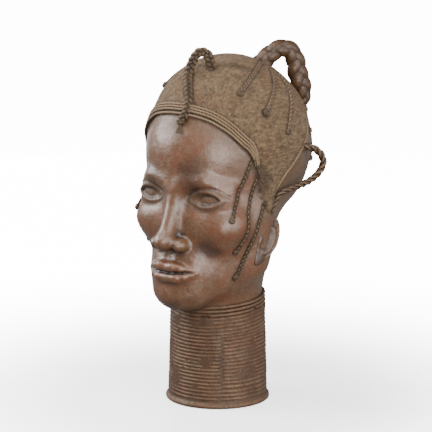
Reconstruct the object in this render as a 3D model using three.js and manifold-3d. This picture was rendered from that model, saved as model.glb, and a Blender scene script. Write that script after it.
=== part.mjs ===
// Bronze head: one hollow casting shown as a solid, with a tight cap, braids, two ears and a
// long ringed neck. Millimetres, +Z up, the face looks along -Y, the origin is the
// middle of the flat underside. The head's left side is +X.
import * as THREE from 'three';
import Module from 'manifold-3d';

const wasm = await Module();
wasm.setup();
const { clamp, degToRad, lerp, radToDeg, smoothstep } = THREE.MathUtils;

// Driving heights of the face, divided into three equal thirds
const chinZ = 101;
const hairlineZ = 292;
const faceThird = (hairlineZ - chinZ) / 3;
const noseBaseZ = chinZ + faceThird;
const browZ = noseBaseZ + faceThird;
const mouthZ = noseBaseZ - faceThird / 3;
const eyeZ = browZ - 13.5;

// Driving sizes of the skull: half width, half depth along its long axis, and across it
const skull = { y: 23.6, z: 259.8, halfWidth: 72.4, halfLong: 93.4, halfShort: 81.8, lean: 33 };
const capThickness = 2.6;
const capEdgeSoftness = 2.2;

// The neck: a flared rim and a stack of rings that rises a little towards the nape
const neck = {
  rimRadius: 52.5, rimHeight: 4.5, bottomRadius: 49.3, topRadius: 46.9, firstRingZ: 8,
  ringCount: 23, ringPitch: 3.85, ringHeight: 1.2, rise: 0.09, sides: 20,
};

// The cap's lower edge: degrees round the head from the middle of the brow, and height
const capEdge = [
  [0, 296], [14, 294.5], [27, 290], [38, 281.5], [49, 268.5], [58, 256.5], [65, 236], [71, 206],
  [78, 199], [87, 217], [100, 237.5], [120, 262], [138, 285], [180, 296],
];
const capMiddleY = 10;

// Small fields: each returns the distance to a form, negative inside it
function smoothMin(a, b, blend) {
  const h = Math.max(blend - Math.abs(a - b), 0) / blend;
  return Math.min(a, b) - (h * h * blend) / 4;
}

function smoothMax(a, b, blend) {
  return -smoothMin(-a, -b, blend);
}

function ellipsoid(x, y, z, [cx, cy, cz], [rx, ry, rz]) {
  const k0 = Math.hypot((x - cx) / rx, (y - cy) / ry, (z - cz) / rz);
  const k1 = Math.hypot((x - cx) / rx ** 2, (y - cy) / ry ** 2, (z - cz) / rz ** 2);
  return (k0 * (k0 - 1)) / Math.max(k1, 1e-9);
}

function roundCone(x, y, z, a, b, ra, rb) {
  const dx = b[0] - a[0];
  const dy = b[1] - a[1];
  const dz = b[2] - a[2];
  const along = (x - a[0]) * dx + (y - a[1]) * dy + (z - a[2]) * dz;
  const t = clamp(along / (dx * dx + dy * dy + dz * dz), 0, 1);
  const gap = Math.hypot(x - a[0] - dx * t, y - a[1] - dy * t, z - a[2] - dz * t);
  return gap - lerp(ra, rb, t);
}

function chain(x, y, z, beads, blend) {
  const links = beads.slice(1).map((b, i) => roundCone(x, y, z, beads[i], b, beads[i][3], b[3]));
  return links.reduce((whole, link) => smoothMin(whole, link, blend));
}

function bell(v, width) {
  return Math.exp(-((v / width) ** 2));
}

// A smooth curve through [position, value] rows, level at both ends
function through(rows, at) {
  const last = rows.length - 1;
  let i = 0;
  while (i < last - 1 && at > rows[i + 1][0]) i++;
  const slope = (k) => (k === 0 || k === last
    ? 0 : (rows[k + 1][1] - rows[k - 1][1]) / (rows[k + 1][0] - rows[k - 1][0]));
  const span = rows[i + 1][0] - rows[i][0];
  const t = clamp((at - rows[i][0]) / span, 0, 1);
  const rise = t * t * (3 - 2 * t);
  const start = t * (1 - t) ** 2 * slope(i) * span;
  const end = t * t * (1 - t) * slope(i + 1) * span;
  return lerp(rows[i][1], rows[i + 1][1], rise) + start - end;
}

// Eyes, lips and nose, laid out from the face thirds
const eye = { x: 31.5, y: -46.5, z: eyeZ, radii: [19.5, 16, 16], half: 15.5, up: 7.4, down: 5.4 };
const lidThickness = 2.4;
const upperLip = [
  [0, -80.6, mouthZ + 4.6, 4.2], [5, -81, mouthZ + 5.6, 4.3], [12, -78.6, mouthZ + 4.6, 3.7],
  [19, -73.6, mouthZ + 2.4, 2.6], [24.5, -69.8, mouthZ + 0.4, 1.3],
];
const lowerLip = [
  [0, -79.6, mouthZ - 5.4, 5.4], [8, -78.8, mouthZ - 5.2, 5.2], [15, -75.6, mouthZ - 3.8, 4],
  [20, -72.2, mouthZ - 2, 2.6], [24, -69.8, mouthZ - 0.4, 1.3],
];

// Forms that melt into the skull one after the other: a ball has a centre and radii, a bar
// two ends and a radius at each. What stands aside is on both sides, and fillet is the width
// of the melt: forehead, face, cheeks, jaw, jaw corners, muzzle, chin, throat and brows
const headForms = [
  { ball: [0, -20, 250], radii: [58, 51, 46], fillet: 22 },
  { ball: [0, -10, 184], radii: [63.5, 62, 82], fillet: 24 },
  { ball: [38, -43, 189], radii: [22, 21, 19], fillet: 18 },
  { bar: [[40, -8, 149], [14, -56, 121]], radii: [14, 15], fillet: 21 },
  { bar: [[40, -8, 149], [46, -6, 196]], radii: [14, 16], fillet: 18 },
  { ball: [0, -56, mouthZ], radii: [32, 23, 25], fillet: 18 },
  { ball: [0, -62, chinZ + 16], radii: [18, 17, 14.5], fillet: 15 },
  { bar: [[0, 0, 84], [0, 6, 170]], radii: [45.5, 40], fillet: 18 },
  { bar: [[7, -64.5, browZ], [27, -61, browZ + 3]], radii: [6.5, 6.5], fillet: 12 },
  { bar: [[27, -61, browZ + 3], [47, -46, browZ - 2]], radii: [6.5, 4.5], fillet: 10 },
];

// How far a point lies outside the almond-shaped opening between the lids
function outsideAlmond(x, z) {
  const u = x - eye.x;
  const v = z - eye.z - 0.05 * u;
  const upperArc = (eye.half ** 2 + eye.up ** 2) / (2 * eye.up);
  const lowerArc = (eye.half ** 2 + eye.down ** 2) / (2 * eye.down);
  const above = Math.hypot(u, v - eye.up + upperArc) - upperArc;
  const below = Math.hypot(u, v + eye.down - lowerArc) - lowerArc;
  return Math.max(above, below);
}

function skullField(x, y, z) {
  const lean = degToRad(skull.lean);
  const dy = y - skull.y;
  const dz = z - skull.z;
  const long = -dy * Math.cos(lean) + dz * Math.sin(lean);
  const short = dy * Math.sin(lean) + dz * Math.cos(lean);
  return ellipsoid(x, short, long, [0, 0, 0], [skull.halfWidth, skull.halfShort, skull.halfLong]);
}

function eyeField(x, y, z, d) {
  if (y > -38) return d;
  const socket = ellipsoid(x, y, z, [29, -80, eyeZ + 1], [20, 15, 11.5]);
  const centre = [eye.x, eye.y, eye.z];
  const ball = ellipsoid(x, y, z, centre, eye.radii);
  const lids = ellipsoid(x, y, z, centre, eye.radii.map((r) => r + lidThickness));
  const opening = outsideAlmond(x, z);
  const zone = smoothstep(-y, 40, 48) * (1 - smoothstep(Math.abs(z - eyeZ), 16, 22));
  let e = smoothMax(d, -socket, 12);
  e = smoothMin(e, smoothMax(lids, -opening, 1.2), 5);
  e = smoothMin(e, ball, 0.8);
  e -= 0.9 * bell(opening - 1.4, 1.3) * zone;
  return e + 1.1 * bell(opening - 5.2, 1.2) * zone * smoothstep(z - eyeZ, 1, 5);
}

function noseField(x, side, y, z, d) {
  const tipZ = noseBaseZ + 9.5;
  let n = smoothMin(d, roundCone(x, y, z, [0, -67, eyeZ + 5], [0, -83, tipZ + 3], 5.4, 7.6), 11);
  n = smoothMin(n, ellipsoid(x, y, z, [0, -84.5, tipZ], [9, 11, 8.4]), 6);
  n = smoothMin(n, ellipsoid(side, y, z, [11, -76.5, noseBaseZ + 6], [6.6, 9.5, 6.6]), 5);
  return smoothMax(n, -ellipsoid(side, y, z, [6.4, -82.5, noseBaseZ - 1], [3.5, 6.2, 4.6]), 2);
}

function mouthField(x, y, z, d) {
  const front = smoothstep(-y, 58, 64);
  const line = mouthZ - 0.8 * bell(x, 7) + 0.8 * smoothstep(x, 8, 22);
  let m = smoothMin(d, chain(x, y, z, upperLip, 3), 3.2);
  m = smoothMin(m, chain(x, y, z, lowerLip, 3), 3.2);
  m += 1.7 * bell(z - line, 1.5) * (1 - smoothstep(x, 20, 27)) * front;
  const lipTop = smoothstep(z, mouthZ + 9, mouthZ + 13);
  return m + 1.2 * bell(x, 3.2) * lipTop * (1 - smoothstep(z, noseBaseZ - 5, noseBaseZ)) * front;
}

// How high a point lies above the cap's lower edge
function aboveCapEdge(x, y, z) {
  const around = radToDeg(Math.atan2(Math.abs(x), capMiddleY - y));
  return 0.8 * (z - through(capEdge, around));
}

// The head without its cap
function bareHead(x, y, z) {
  const side = Math.sqrt(x * x + 9) - 3;
  let d = skullField(x, y, z);
  for (const { ball, bar, radii, fillet } of headForms) {
    const aside = (ball ? ball[0] : bar[0][0]) > 0 ? side : x;
    const form = ball
      ? ellipsoid(aside, y, z, ball, radii)
      : roundCone(aside, y, z, bar[0], bar[1], radii[0], radii[1]);
    d = smoothMin(d, form, fillet);
  }
  d = eyeField(side, y, z, d);
  d = noseField(x, side, y, z, d);
  return mouthField(side, y, z, d);
}

function headField(x, y, z) {
  const above = aboveCapEdge(x, y, z);
  return bareHead(x, y, z) - capThickness * smoothstep(above, 0, capEdgeSoftness);
}

// The ear: a shallow dish with a rolled rim, a hollow and a lobe
const ear = { centre: [63, -5, 170], halfHeight: 27.5, halfWidth: 15, tilt: 33, flare: 12 };

function earField(x, y, z) {
  const tilt = degToRad(ear.tilt);
  const flare = degToRad(ear.flare);
  const dx = x - ear.centre[0];
  const dy = y - ear.centre[1];
  const dz = z - ear.centre[2];
  const back = dy * Math.cos(tilt) - dz * Math.sin(tilt);
  const up = dy * Math.sin(tilt) + dz * Math.cos(tilt);
  const out = dx * Math.cos(flare) - back * Math.sin(flare);
  const across = dx * Math.sin(flare) + back * Math.cos(flare);
  const narrow = ear.halfWidth * (1 - 0.42 * smoothstep(-up, -6, ear.halfHeight));
  const edge = Math.hypot(across / narrow, up / ear.halfHeight);
  const plate = ellipsoid(across, out, up, [0, 0, 0], [narrow, 5, ear.halfHeight]);
  const hollow = ellipsoid(across, out, up, [-1, 8, 1], [8, 6, 14]);
  const rim = 1.4 * bell(edge - 0.8, 0.14) * smoothstep(out, 0, 3) * smoothstep(up, -20, -8);
  return smoothMax(plate - rim, -hollow, 2.5);
}

// Positions from 0 to 1 that crowd together where the weight is large
function spread(count, weight) {
  const steps = 2000;
  const sums = [0];
  for (let i = 0; i < steps; i++) sums.push(sums[i] + weight((i + 0.5) / steps));
  const positions = [];
  let j = 0;
  for (let i = 0; i < count; i++) {
    const wanted = (sums[steps] * i) / count;
    while (sums[j + 1] < wanted) j++;
    positions.push((j + (wanted - sums[j]) / (sums[j + 1] - sums[j])) / steps);
  }
  return positions;
}

function slopeOf(field, p) {
  const h = 0.15;
  return new THREE.Vector3(
    field(p.x + h, p.y, p.z) - field(p.x - h, p.y, p.z),
    field(p.x, p.y + h, p.z) - field(p.x, p.y - h, p.z),
    field(p.x, p.y, p.z + h) - field(p.x, p.y, p.z - h),
  ).divideScalar(2 * h);
}

function settle(field, p) {
  const slope = slopeOf(field, p);
  const step = clamp(field(p.x, p.y, p.z) / Math.max(slope.lengthSq(), 0.25), -2, 2);
  return p.addScaledVector(slope, -step);
}

// The outermost point of a field along a ray
function reach(field, origin, direction, start) {
  let r = start;
  const p = new THREE.Vector3();
  for (let i = 0; i < 160; i++) {
    p.copy(origin).addScaledVector(direction, r);
    const d = field(p.x, p.y, p.z);
    if (d < 0.02) break;
    r -= Math.max(d * 0.7, 0.05);
  }
  return settle(field, p);
}

// A closed skin over a field: rays from an upright core find the surface, then the grid
// is evened out while it is held on the surface
function skin(field, { x, y, top, low, arc, start, relax }, around, down) {
  const cols = around.length;
  const length = 2 * arc + top - low;
  const grid = [];
  for (const v of down) {
    const s = v * length;
    const side = clamp(s - arc, 0, top - low);
    let angle = 80 + (22 * side) / Math.max(top - low, 1e-6);
    if (s < arc) angle = (80 * s) / arc;
    if (s > arc + top - low) angle = 102 + (78 * (s - arc - top + low)) / arc;
    const polar = degToRad(angle);
    const origin = new THREE.Vector3(x, y, top - side);
    for (const u of around) {
      const turn = u * 2 * Math.PI;
      const flat = Math.sin(polar);
      const ray = new THREE.Vector3(flat * Math.sin(turn), -flat * Math.cos(turn), Math.cos(polar));
      grid.push(reach(field, origin, ray, start));
    }
  }
  const rows = down.length;
  const north = reach(field, new THREE.Vector3(x, y, top), new THREE.Vector3(0, 0, 1), start);
  const south = reach(field, new THREE.Vector3(x, y, low), new THREE.Vector3(0, 0, -1), start);
  for (let round = 0; round < relax; round++) {
    const old = grid.map((p) => p.clone());
    for (let i = 0; i < rows; i++) {
      for (let j = 0; j < cols; j++) {
        const above = i === 0 ? north : old[(i - 1) * cols + j];
        const below = i === rows - 1 ? south : old[(i + 1) * cols + j];
        const left = old[i * cols + ((j + cols - 1) % cols)];
        const right = old[i * cols + ((j + 1) % cols)];
        const mean = above.clone().add(below).add(left).add(right).multiplyScalar(0.25);
        const p = grid[i * cols + j].lerp(mean, 0.4);
        settle(field, p);
        settle(field, p);
      }
    }
  }
  const faces = [];
  for (let j = 0; j < cols; j++) {
    const k = (j + 1) % cols;
    faces.push(0, 1 + j, 1 + k);
    for (let i = 0; i + 1 < rows; i++) {
      const a = 1 + i * cols + j;
      const b = 1 + i * cols + k;
      faces.push(a, a + cols, b, b, a + cols, b + cols);
    }
    const lastRow = 1 + (rows - 1) * cols;
    faces.push(lastRow + cols, lastRow + k, lastRow + j);
  }
  return toGeometry([north, ...grid, south], faces);
}

function toGeometry(points, faces) {
  const geometry = new THREE.BufferGeometry();
  geometry.setFromPoints(points);
  geometry.setIndex(faces);
  return geometry;
}

// A closed tube through a loop of rings, with a point at each end
function tube(rings, start, end) {
  const sides = rings[0].length;
  const points = [start, ...rings.flat(), end];
  const faces = [];
  const last = points.length - 1;
  for (let j = 0; j < sides; j++) {
    const k = (j + 1) % sides;
    faces.push(0, 1 + k, 1 + j);
    for (let i = 0; i + 1 < rings.length; i++) {
      const a = 1 + i * sides + j;
      const b = 1 + i * sides + k;
      faces.push(a, b, a + sides, b, b + sides, a + sides);
    }
    faces.push(last, last - sides + j, last - sides + k);
  }
  return toGeometry(points, faces);
}

// A cord along a curve: lobes turn round it like the plies of a rope, and its radius
// follows a profile from start to end
function cordGeometry(curve, { radius, lobes, depth, pitch, sides, step }) {
  const length = curve.getLength();
  const count = Math.max(3, Math.round(length / step));
  const frames = curve.computeFrenetFrames(count, false);
  const rings = [];
  for (let i = 0; i <= count; i++) {
    const t = i / count;
    const centre = curve.getPointAt(t);
    const ring = [];
    for (let j = 0; j < sides; j++) {
      const turn = (j / sides) * 2 * Math.PI;
      const ply = lobes * turn - (2 * Math.PI * t * length) / pitch;
      const r = radius(t) * (1 + depth * Math.cos(ply));
      const p = centre.clone();
      p.addScaledVector(frames.normals[i], r * Math.cos(turn));
      p.addScaledVector(frames.binormals[i], r * Math.sin(turn));
      ring.push(p);
    }
    rings.push(ring);
  }
  return tube(rings, curve.getPointAt(0), curve.getPointAt(1));
}

function curveThrough(points, mirror = 1) {
  return new THREE.CatmullRomCurve3(points.map(([x, y, z]) => new THREE.Vector3(x * mirror, y, z)));
}

// A curve laid on the head: each point is moved to the surface, then lifted off it
function laidCurve(points, lift, mirror) {
  const laid = curveThrough(points, mirror).getSpacedPoints(9);
  for (const p of laid) {
    for (let i = 0; i < 6; i++) settle(headField, p);
    p.addScaledVector(slopeOf(headField, p).normalize(), lift);
  }
  return new THREE.CatmullRomCurve3(laid);
}

function toManifold(geometry) {
  const vertProperties = new Float32Array(geometry.attributes.position.array);
  const triVerts = new Uint32Array(geometry.index.array);
  return new wasm.Manifold(new wasm.Mesh({ numProp: 3, vertProperties, triVerts }));
}

// Head: columns crowd towards the face, rows towards eyes, nose and mouth
const headGrid = { cols: 170, rows: 130 };
const headCore = { x: 0, y: 6, top: 255, low: 125, arc: 120, start: 190, relax: 5 };
const headFlatness = 1.6;

function buildHead() {
  const toFace = (u) => 1 + 3 * (bell(u, 0.12) + bell(u - 1, 0.12));
  const toFeatures = (v) => 1 + 1.6 * bell(v - 0.55, 0.13);
  const around = spread(headGrid.cols, toFace);
  const down = spread(headGrid.rows, toFeatures).slice(1);
  return skin(headField, headCore, around, down);
}

function buildEar(mirror) {
  const [cx, cy, cz] = ear.centre;
  const field = (x, y, z) => earField(x * mirror, y, z);
  const core = { x: cx * mirror, y: cy, top: cz, low: cz, arc: 40, start: 45, relax: 2 };
  const even = () => 1;
  return skin(field, core, spread(48, even), spread(40, even).slice(1));
}

// Neck: rim and rings turned round the axis, each ring rising towards the nape
function buildNeck() {
  const top = neck.firstRingZ + neck.ringCount * neck.ringPitch;
  const bodyRadius = (z) => lerp(neck.bottomRadius, neck.topRadius, z / top);
  const profile = [[0, 0], [neck.rimRadius - 1.5, 0], [neck.rimRadius, 2]];
  profile.push([neck.rimRadius - 0.5, neck.rimHeight]);
  for (let i = 0; i < neck.ringCount; i++) {
    const z = neck.firstRingZ + i * neck.ringPitch;
    const crest = z + neck.ringPitch / 2;
    profile.push([bodyRadius(z), z], [bodyRadius(crest) + neck.ringHeight, crest]);
  }
  profile.push([bodyRadius(top), top], [0, top]);
  const outline = profile.map(([r, z]) => new THREE.Vector2(r, z));
  const geometry = new THREE.LatheGeometry(outline, neck.sides);
  geometry.rotateX(Math.PI / 2);
  const position = geometry.attributes.position;
  for (let i = 0; i < position.count; i++) {
    const z = position.getZ(i);
    position.setZ(i, z + smoothstep(z, 4, 90) * position.getY(i) * neck.rise);
  }
  return weld(geometry);
}

// Joins the points that a lathe repeats on its seam and on its axis
function weld(geometry) {
  const position = geometry.attributes.position;
  const seen = new Map();
  const points = [];
  const names = [];
  for (let i = 0; i < position.count; i++) {
    const p = new THREE.Vector3().fromBufferAttribute(position, i);
    const key = p.toArray().map((v) => Math.round(v * 1000)).join(' ').replaceAll('-0', '0');
    if (!seen.has(key)) {
      seen.set(key, points.length);
      points.push(p);
    }
    names.push(seen.get(key));
  }
  const faces = [];
  const index = geometry.index.array;
  for (let i = 0; i < index.length; i += 3) {
    const [a, b, c] = [names[index[i]], names[index[i + 1]], names[index[i + 2]]];
    if (a !== b && b !== c && c !== a) faces.push(a, b, c);
  }
  return toGeometry(points, faces);
}

// The corded band along the front of the cap
const band = { halfAngle: 62, width: 10.5, cords: 3, cordHeight: 1.6, depth: 3, stations: 24 };

// The point of the cap's edge at an angle round the head
function edgePoint(around) {
  const turn = degToRad(around);
  const ray = new THREE.Vector3(Math.sin(turn), -Math.cos(turn), 0);
  const height = through(capEdge, Math.abs(around)) + 1;
  return reach(headField, new THREE.Vector3(0, capMiddleY, height), ray, 110);
}

function buildBand() {
  const rings = [];
  const middles = [];
  const tops = band.cords * 2;
  for (let i = 0; i <= band.stations; i++) {
    const around = lerp(-band.halfAngle, band.halfAngle, i / band.stations);
    const foot = edgePoint(around);
    const along = edgePoint(around + 0.5).sub(edgePoint(around - 0.5)).normalize();
    const outward = slopeOf(bareHead, foot).normalize();
    const across = outward.clone().cross(along).normalize();
    const width = band.width * Math.min(1, (band.halfAngle - Math.abs(around)) / 12 + 0.35);
    const ring = [];
    for (let k = 0; k <= tops; k++) {
      const q = foot.clone().addScaledVector(across, (width * k) / tops);
      for (let n = 0; n < 3; n++) settle(headField, q);
      const normal = slopeOf(bareHead, q).normalize();
      ring.push(q.addScaledVector(normal, k % 2 === 1 ? band.cordHeight : 0.35));
    }
    const bottom = ring[tops].clone().addScaledVector(outward, -band.depth);
    const start = ring[0].clone().addScaledVector(outward, -band.depth);
    ring.push(bottom, start);
    ring.reverse();
    rings.push(ring);
    middles.push(bottom.clone().lerp(start, 0.5).addScaledVector(outward, 0.5));
  }
  return tube(rings, middles[0], middles[middles.length - 1]);
}

// Rims of the eyelids: a fine roll along the almond-shaped opening of each eye
const lidRim = { radius: 1.7, sunk: 0.7, stations: 16, sides: 4 };

function buildLidRim(mirror) {
  const points = [];
  for (let i = 0; i < lidRim.stations; i++) {
    const turn = (i / lidRim.stations) * 2 * Math.PI;
    const reachOut = eye.half + 1;
    const u = reachOut * Math.cos(turn);
    const height = Math.sin(turn) > 0 ? eye.up + 1.4 : eye.down + 1.2;
    const v = height * Math.sin(turn) * Math.abs(Math.sin(turn)) ** 0.35 + 0.05 * u;
    const middle = new THREE.Vector3((eye.x + u) * mirror, 0, eye.z + v);
    const foot = reach(headField, middle, new THREE.Vector3(0, -1, 0), 100);
    points.push(foot.addScaledVector(slopeOf(headField, foot).normalize(), -lidRim.sunk));
  }
  return closedCord(points, lidRim.radius, lidRim.sides);
}

// A ring of cord through points, closed on itself
function closedCord(points, radius, sides) {
  const curve = new THREE.CatmullRomCurve3(points, true);
  const count = points.length;
  const frames = curve.computeFrenetFrames(count, true);
  const rim = [];
  const faces = [];
  for (let i = 0; i < count; i++) {
    for (let j = 0; j < sides; j++) {
      const turn = (j / sides) * 2 * Math.PI;
      const p = curve.getPointAt(i / count);
      p.addScaledVector(frames.normals[i], radius * Math.cos(turn));
      rim.push(p.addScaledVector(frames.binormals[i], radius * Math.sin(turn)));
      const [a, b] = [i * sides + j, i * sides + ((j + 1) % sides)];
      const [c, d] = [((i + 1) % count) * sides + j, ((i + 1) % count) * sides + ((j + 1) % sides)];
      faces.push(a, b, c, b, d, c);
    }
  }
  return toGeometry(rim, faces);
}

// Loops and braids. Routes are points in space on the left side, or in the middle
const backLoopRoute = [
  [14, 46, 331], [20, 54, 341.5], [27, 62, 349.5], [33, 69, 350.5], [37, 73.5, 346],
  [39.5, 76.8, 336.5], [41, 78.5, 324], [43.8, 81.5, 312], [46, 83, 300], [45, 79, 292],
];
const backLoopRadius = [[0, 10.5], [0.3, 9.2], [0.55, 10.2], [0.75, 10.6], [0.88, 7.5], [1, 4]];
const frontBraidRoute = [
  [13, -22, 334], [11, -25.8, 344], [9.2, -27.4, 351.5], [3.6, -31.7, 354.6], [-0.4, -35.2, 350],
  [-3.4, -38.4, 341.5], [-3.4, -42.5, 331], [4, -51.5, 321], [9.6, -58.5, 310], [10.5, -65.5, 297],
  [6.5, -67.6, 290.5],
];
const sideLoopRoute = [
  [69, 44, 257], [73.5, 50, 257], [79, 58.5, 253.3], [83, 61.5, 247.7], [84, 62.7, 240.5],
  [83, 59.9, 233.7], [81, 52.7, 227.4], [79, 42.3, 223.2], [76.5, 31, 220.7], [73.4, 19.5, 218.5],
  [70.5, 8.7, 214.8], [68.6, 2.5, 206], [67.4, -1, 199],
];

// Small braids that lie on the cap and the temples: route on the surface, thickness,
// and radius of the knob at the end
const laidBraids = [
  { route: [[27, 33, 337], [43.7, -3, 329], [46.5, -24.5, 316.5]], radius: 1.9, knob: 3.6 },
  { route: [[38, 36, 332], [57.5, 16, 317], [64.6, -6.7, 297.5]], radius: 2, knob: 4.4 },
  { route: [[40, 46, 328], [60, 39, 308], [71, 24, 288], [73.6, 17, 276.5]], radius: 2, knob: 3.5 },
  { route: [[50, 79, 294], [59, 77, 280], [61.7, 76, 270]], radius: 1.8, knob: 3.4 },
  { route: [[40, 92, 285], [50, 90, 262], [55, 85, 239]], radius: 1.8, knob: 3.4 },
  { route: [[66.5, -29, 254], [57.5, -37, 223], [58.6, -53, 196.5]], radius: 2.1, knob: 3.4 },
  { route: [[67.5, -21, 236], [62.8, -35, 200], [54, -41, 163.5]], radius: 2.1, knob: 3.4 },
  { route: [[66.5, -12.5, 209], [62, -29, 173], [49, -35.5, 137]], radius: 2.1, knob: 3.4 },
];

function buildLaidBraid({ route, radius, knob }, mirror) {
  const curve = laidCurve(route, radius * 0.25, mirror);
  const cord = { radius: () => radius, lobes: 2, depth: 0, pitch: 9, sides: 4, step: 10 };
  const ball = new THREE.IcosahedronGeometry(knob, 0);
  const end = laidCurve(route, knob * 0.45, mirror).getPoint(1);
  ball.translate(end.x, end.y, end.z);
  ball.setIndex([...Array(ball.attributes.position.count).keys()]);
  return [cordGeometry(curve, cord), weld(ball)];
}

function buildLoops() {
  const backLoop = cordGeometry(curveThrough(backLoopRoute), {
    radius: (t) => through(backLoopRadius, t), lobes: 2, depth: 0.1, pitch: 26, sides: 9, step: 6,
  });
  const frontBraid = cordGeometry(curveThrough(frontBraidRoute), {
    radius: (t) => lerp(5.2, 3.8, t), lobes: 2, depth: 0.12, pitch: 14, sides: 6, step: 6,
  });
  const side = { radius: (t) => lerp(4.1, 3, t), lobes: 2, depth: 0.1, pitch: 14, sides: 5, step: 6 };
  const sides = [1, -1].map((mirror) => cordGeometry(curveThrough(sideLoopRoute, mirror), side));
  return [backLoop, frontBraid, ...sides];
}

// One casting: every form is joined into a single solid
const shapes = [buildNeck(), buildBand(), buildLidRim(1), buildLidRim(-1), ...buildLoops()];
for (const braid of laidBraids) {
  shapes.push(...buildLaidBraid(braid, 1), ...buildLaidBraid(braid, -1));
}
const forms = shapes.map(toManifold);
for (const fine of [buildHead(), buildEar(1), buildEar(-1)]) {
  forms.push(toManifold(fine).simplify(headFlatness));
}
// Where cords cross, joining can leave a sliver, so the casting is the largest shell
const castFlatness = 0.45;
const shells = forms.reduce((whole, form) => whole.add(form)).simplify(castFlatness).decompose();
const casting = shells.reduce((best, shell) => (shell.volume() > best.volume() ? shell : best));
const mesh = casting.getMesh();

const bronze = new THREE.MeshStandardMaterial({ color: '#6b4a33', roughness: 0.42, metalness: 0.8 });
const castingGeometry = new THREE.BufferGeometry();
castingGeometry.setAttribute('position', new THREE.BufferAttribute(mesh.vertProperties, 3));
castingGeometry.setIndex(new THREE.BufferAttribute(mesh.triVerts, 1));
castingGeometry.computeVertexNormals();

const bronzeHead = new THREE.Mesh(castingGeometry, bronze);
bronzeHead.name = 'bronze_head';

const part = new THREE.Group();
part.add(bronzeHead);
export default part;
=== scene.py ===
# Cast bronze head with a fitted cap, plaited cords, two ears and a tall ringed neck.
# Sizes in the dictionaries are millimetres and degrees. The face looks along -Y, the head's
# left side is +X, and the flat underside of the neck is at zero.
import math

import bpy
import numpy as np
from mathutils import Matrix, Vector
from mathutils.kdtree import KDTree


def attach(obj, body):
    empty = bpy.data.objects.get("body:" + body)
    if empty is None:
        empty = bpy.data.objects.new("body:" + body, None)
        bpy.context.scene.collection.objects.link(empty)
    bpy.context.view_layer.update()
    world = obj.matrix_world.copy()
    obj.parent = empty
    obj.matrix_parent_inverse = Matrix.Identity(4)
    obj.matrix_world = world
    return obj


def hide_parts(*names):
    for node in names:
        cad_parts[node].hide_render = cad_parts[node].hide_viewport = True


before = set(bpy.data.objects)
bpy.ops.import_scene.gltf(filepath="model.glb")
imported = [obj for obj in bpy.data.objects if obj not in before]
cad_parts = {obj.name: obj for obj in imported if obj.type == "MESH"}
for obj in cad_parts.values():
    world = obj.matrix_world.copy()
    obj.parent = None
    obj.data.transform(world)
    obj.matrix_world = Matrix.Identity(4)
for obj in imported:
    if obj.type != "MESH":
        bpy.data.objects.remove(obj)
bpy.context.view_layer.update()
mm = 0.001  # one millimetre, in Blender's metres


def linear(hexCode):  # sRGB hex to linear colour
    code = hexCode.lstrip("#")
    channels = [int(code[i:i + 2], 16) / 255 for i in (0, 2, 4)]
    return [c / 12.92 if c <= 0.04045 else ((c + 0.055) / 1.055) ** 2.4 for c in channels] + [1.0]


# An input takes a value, a socket, or a node, whose first output it then reads
def addNode(tree, kind, inputs, **settings):
    node = tree.nodes.new(kind)
    for name, value in settings.items():
        setattr(node, name, value)
    for key, value in inputs.items():
        source = value.outputs[0] if isinstance(value, bpy.types.Node) else value
        if isinstance(source, bpy.types.NodeSocket):
            tree.links.new(source, node.inputs[key])
        else:
            node.inputs[key].default_value = source
    return node


def addObject(name, data):
    added = bpy.data.objects.new(name, data)
    bpy.context.scene.collection.objects.link(added)
    return added


def directionAt(around, above):  # from the head, at an angle round it and one above the floor
    turn, tilt = math.radians(around), math.radians(above)
    level = math.cos(tilt)
    return Vector((math.sin(turn) * level, -math.cos(turn) * level, math.sin(tilt)))


# The camera stands at the viewing angle of the picture
viewing = {
    "around": 38, "above": 11.3, "distance": 2240, "aimHeight": 186, "aimAside": -1.7,
    "lens": 186.67, "farthest": 50,  # the last in metres
}


def placeCamera():
    turn, aside = math.radians(viewing["around"]), viewing["aimAside"]
    aim = Vector((aside * math.cos(turn), aside * math.sin(turn), viewing["aimHeight"]))
    back = directionAt(viewing["around"], viewing["above"])
    data = bpy.data.cameras.new("viewCamera")
    data.lens = viewing["lens"]
    data.clip_end = viewing["farthest"]
    camera = addObject("viewCamera", data)
    camera.location = (aim + back * viewing["distance"]) * mm
    camera.rotation_euler = back.to_track_quat("Z", "Y").to_euler()
    bpy.context.scene.camera = camera


placeCamera()
print("camera placed")

# The shape of the head, as one distance field
face = {"chin": 101, "hairline": 292}
third = (face["hairline"] - face["chin"]) / 3
noseBase = face["chin"] + third
browLine = noseBase + third
mouthLine = noseBase - third / 3
eyeLine = browLine - 13.5
skull = {"y": 23.6, "z": 259.8, "halfWidth": 72.4, "halfLong": 93.4, "halfShort": 81.8, "lean": 33}
cap = {
    "thickness": 2.6, "softness": 2.2, "middleY": 10,
    "edge": [(0, 296), (14, 294.5), (27, 290), (38, 281.5), (49, 268.5), (58, 256.5), (65, 236),
             (71, 206), (78, 199), (87, 217), (100, 237.5), (120, 262), (138, 285), (180, 296)],
}
eye = {
    "centre": (31.5, -46.5, eyeLine), "radii": (19.5, 16, 16), "half": 15.5, "up": 7.4, "down": 5.4,
    "lid": 2.4, "socket": ((29, -80, eyeLine + 1), (20, 15, 11.5)), "front": -38,
}
nose = {
    "bridge": ((0, -67, eyeLine + 5), (0, -83, noseBase + 12.5), 5.4, 7.6),
    "tip": ((0, -84.5, noseBase + 9.5), (9, 11, 8.4)),
    "wing": ((11, -76.5, noseBase + 6), (6.6, 9.5, 6.6)),
    "nostril": ((6.4, -82.5, noseBase - 1), (3.5, 6.2, 4.6)),
}
upperLip = [(0, -80.6, mouthLine + 4.6, 4.2), (5, -81, mouthLine + 5.6, 4.3),
            (12, -78.6, mouthLine + 4.6, 3.7), (19, -73.6, mouthLine + 2.4, 2.6),
            (24.5, -69.8, mouthLine + 0.4, 1.3)]
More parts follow.
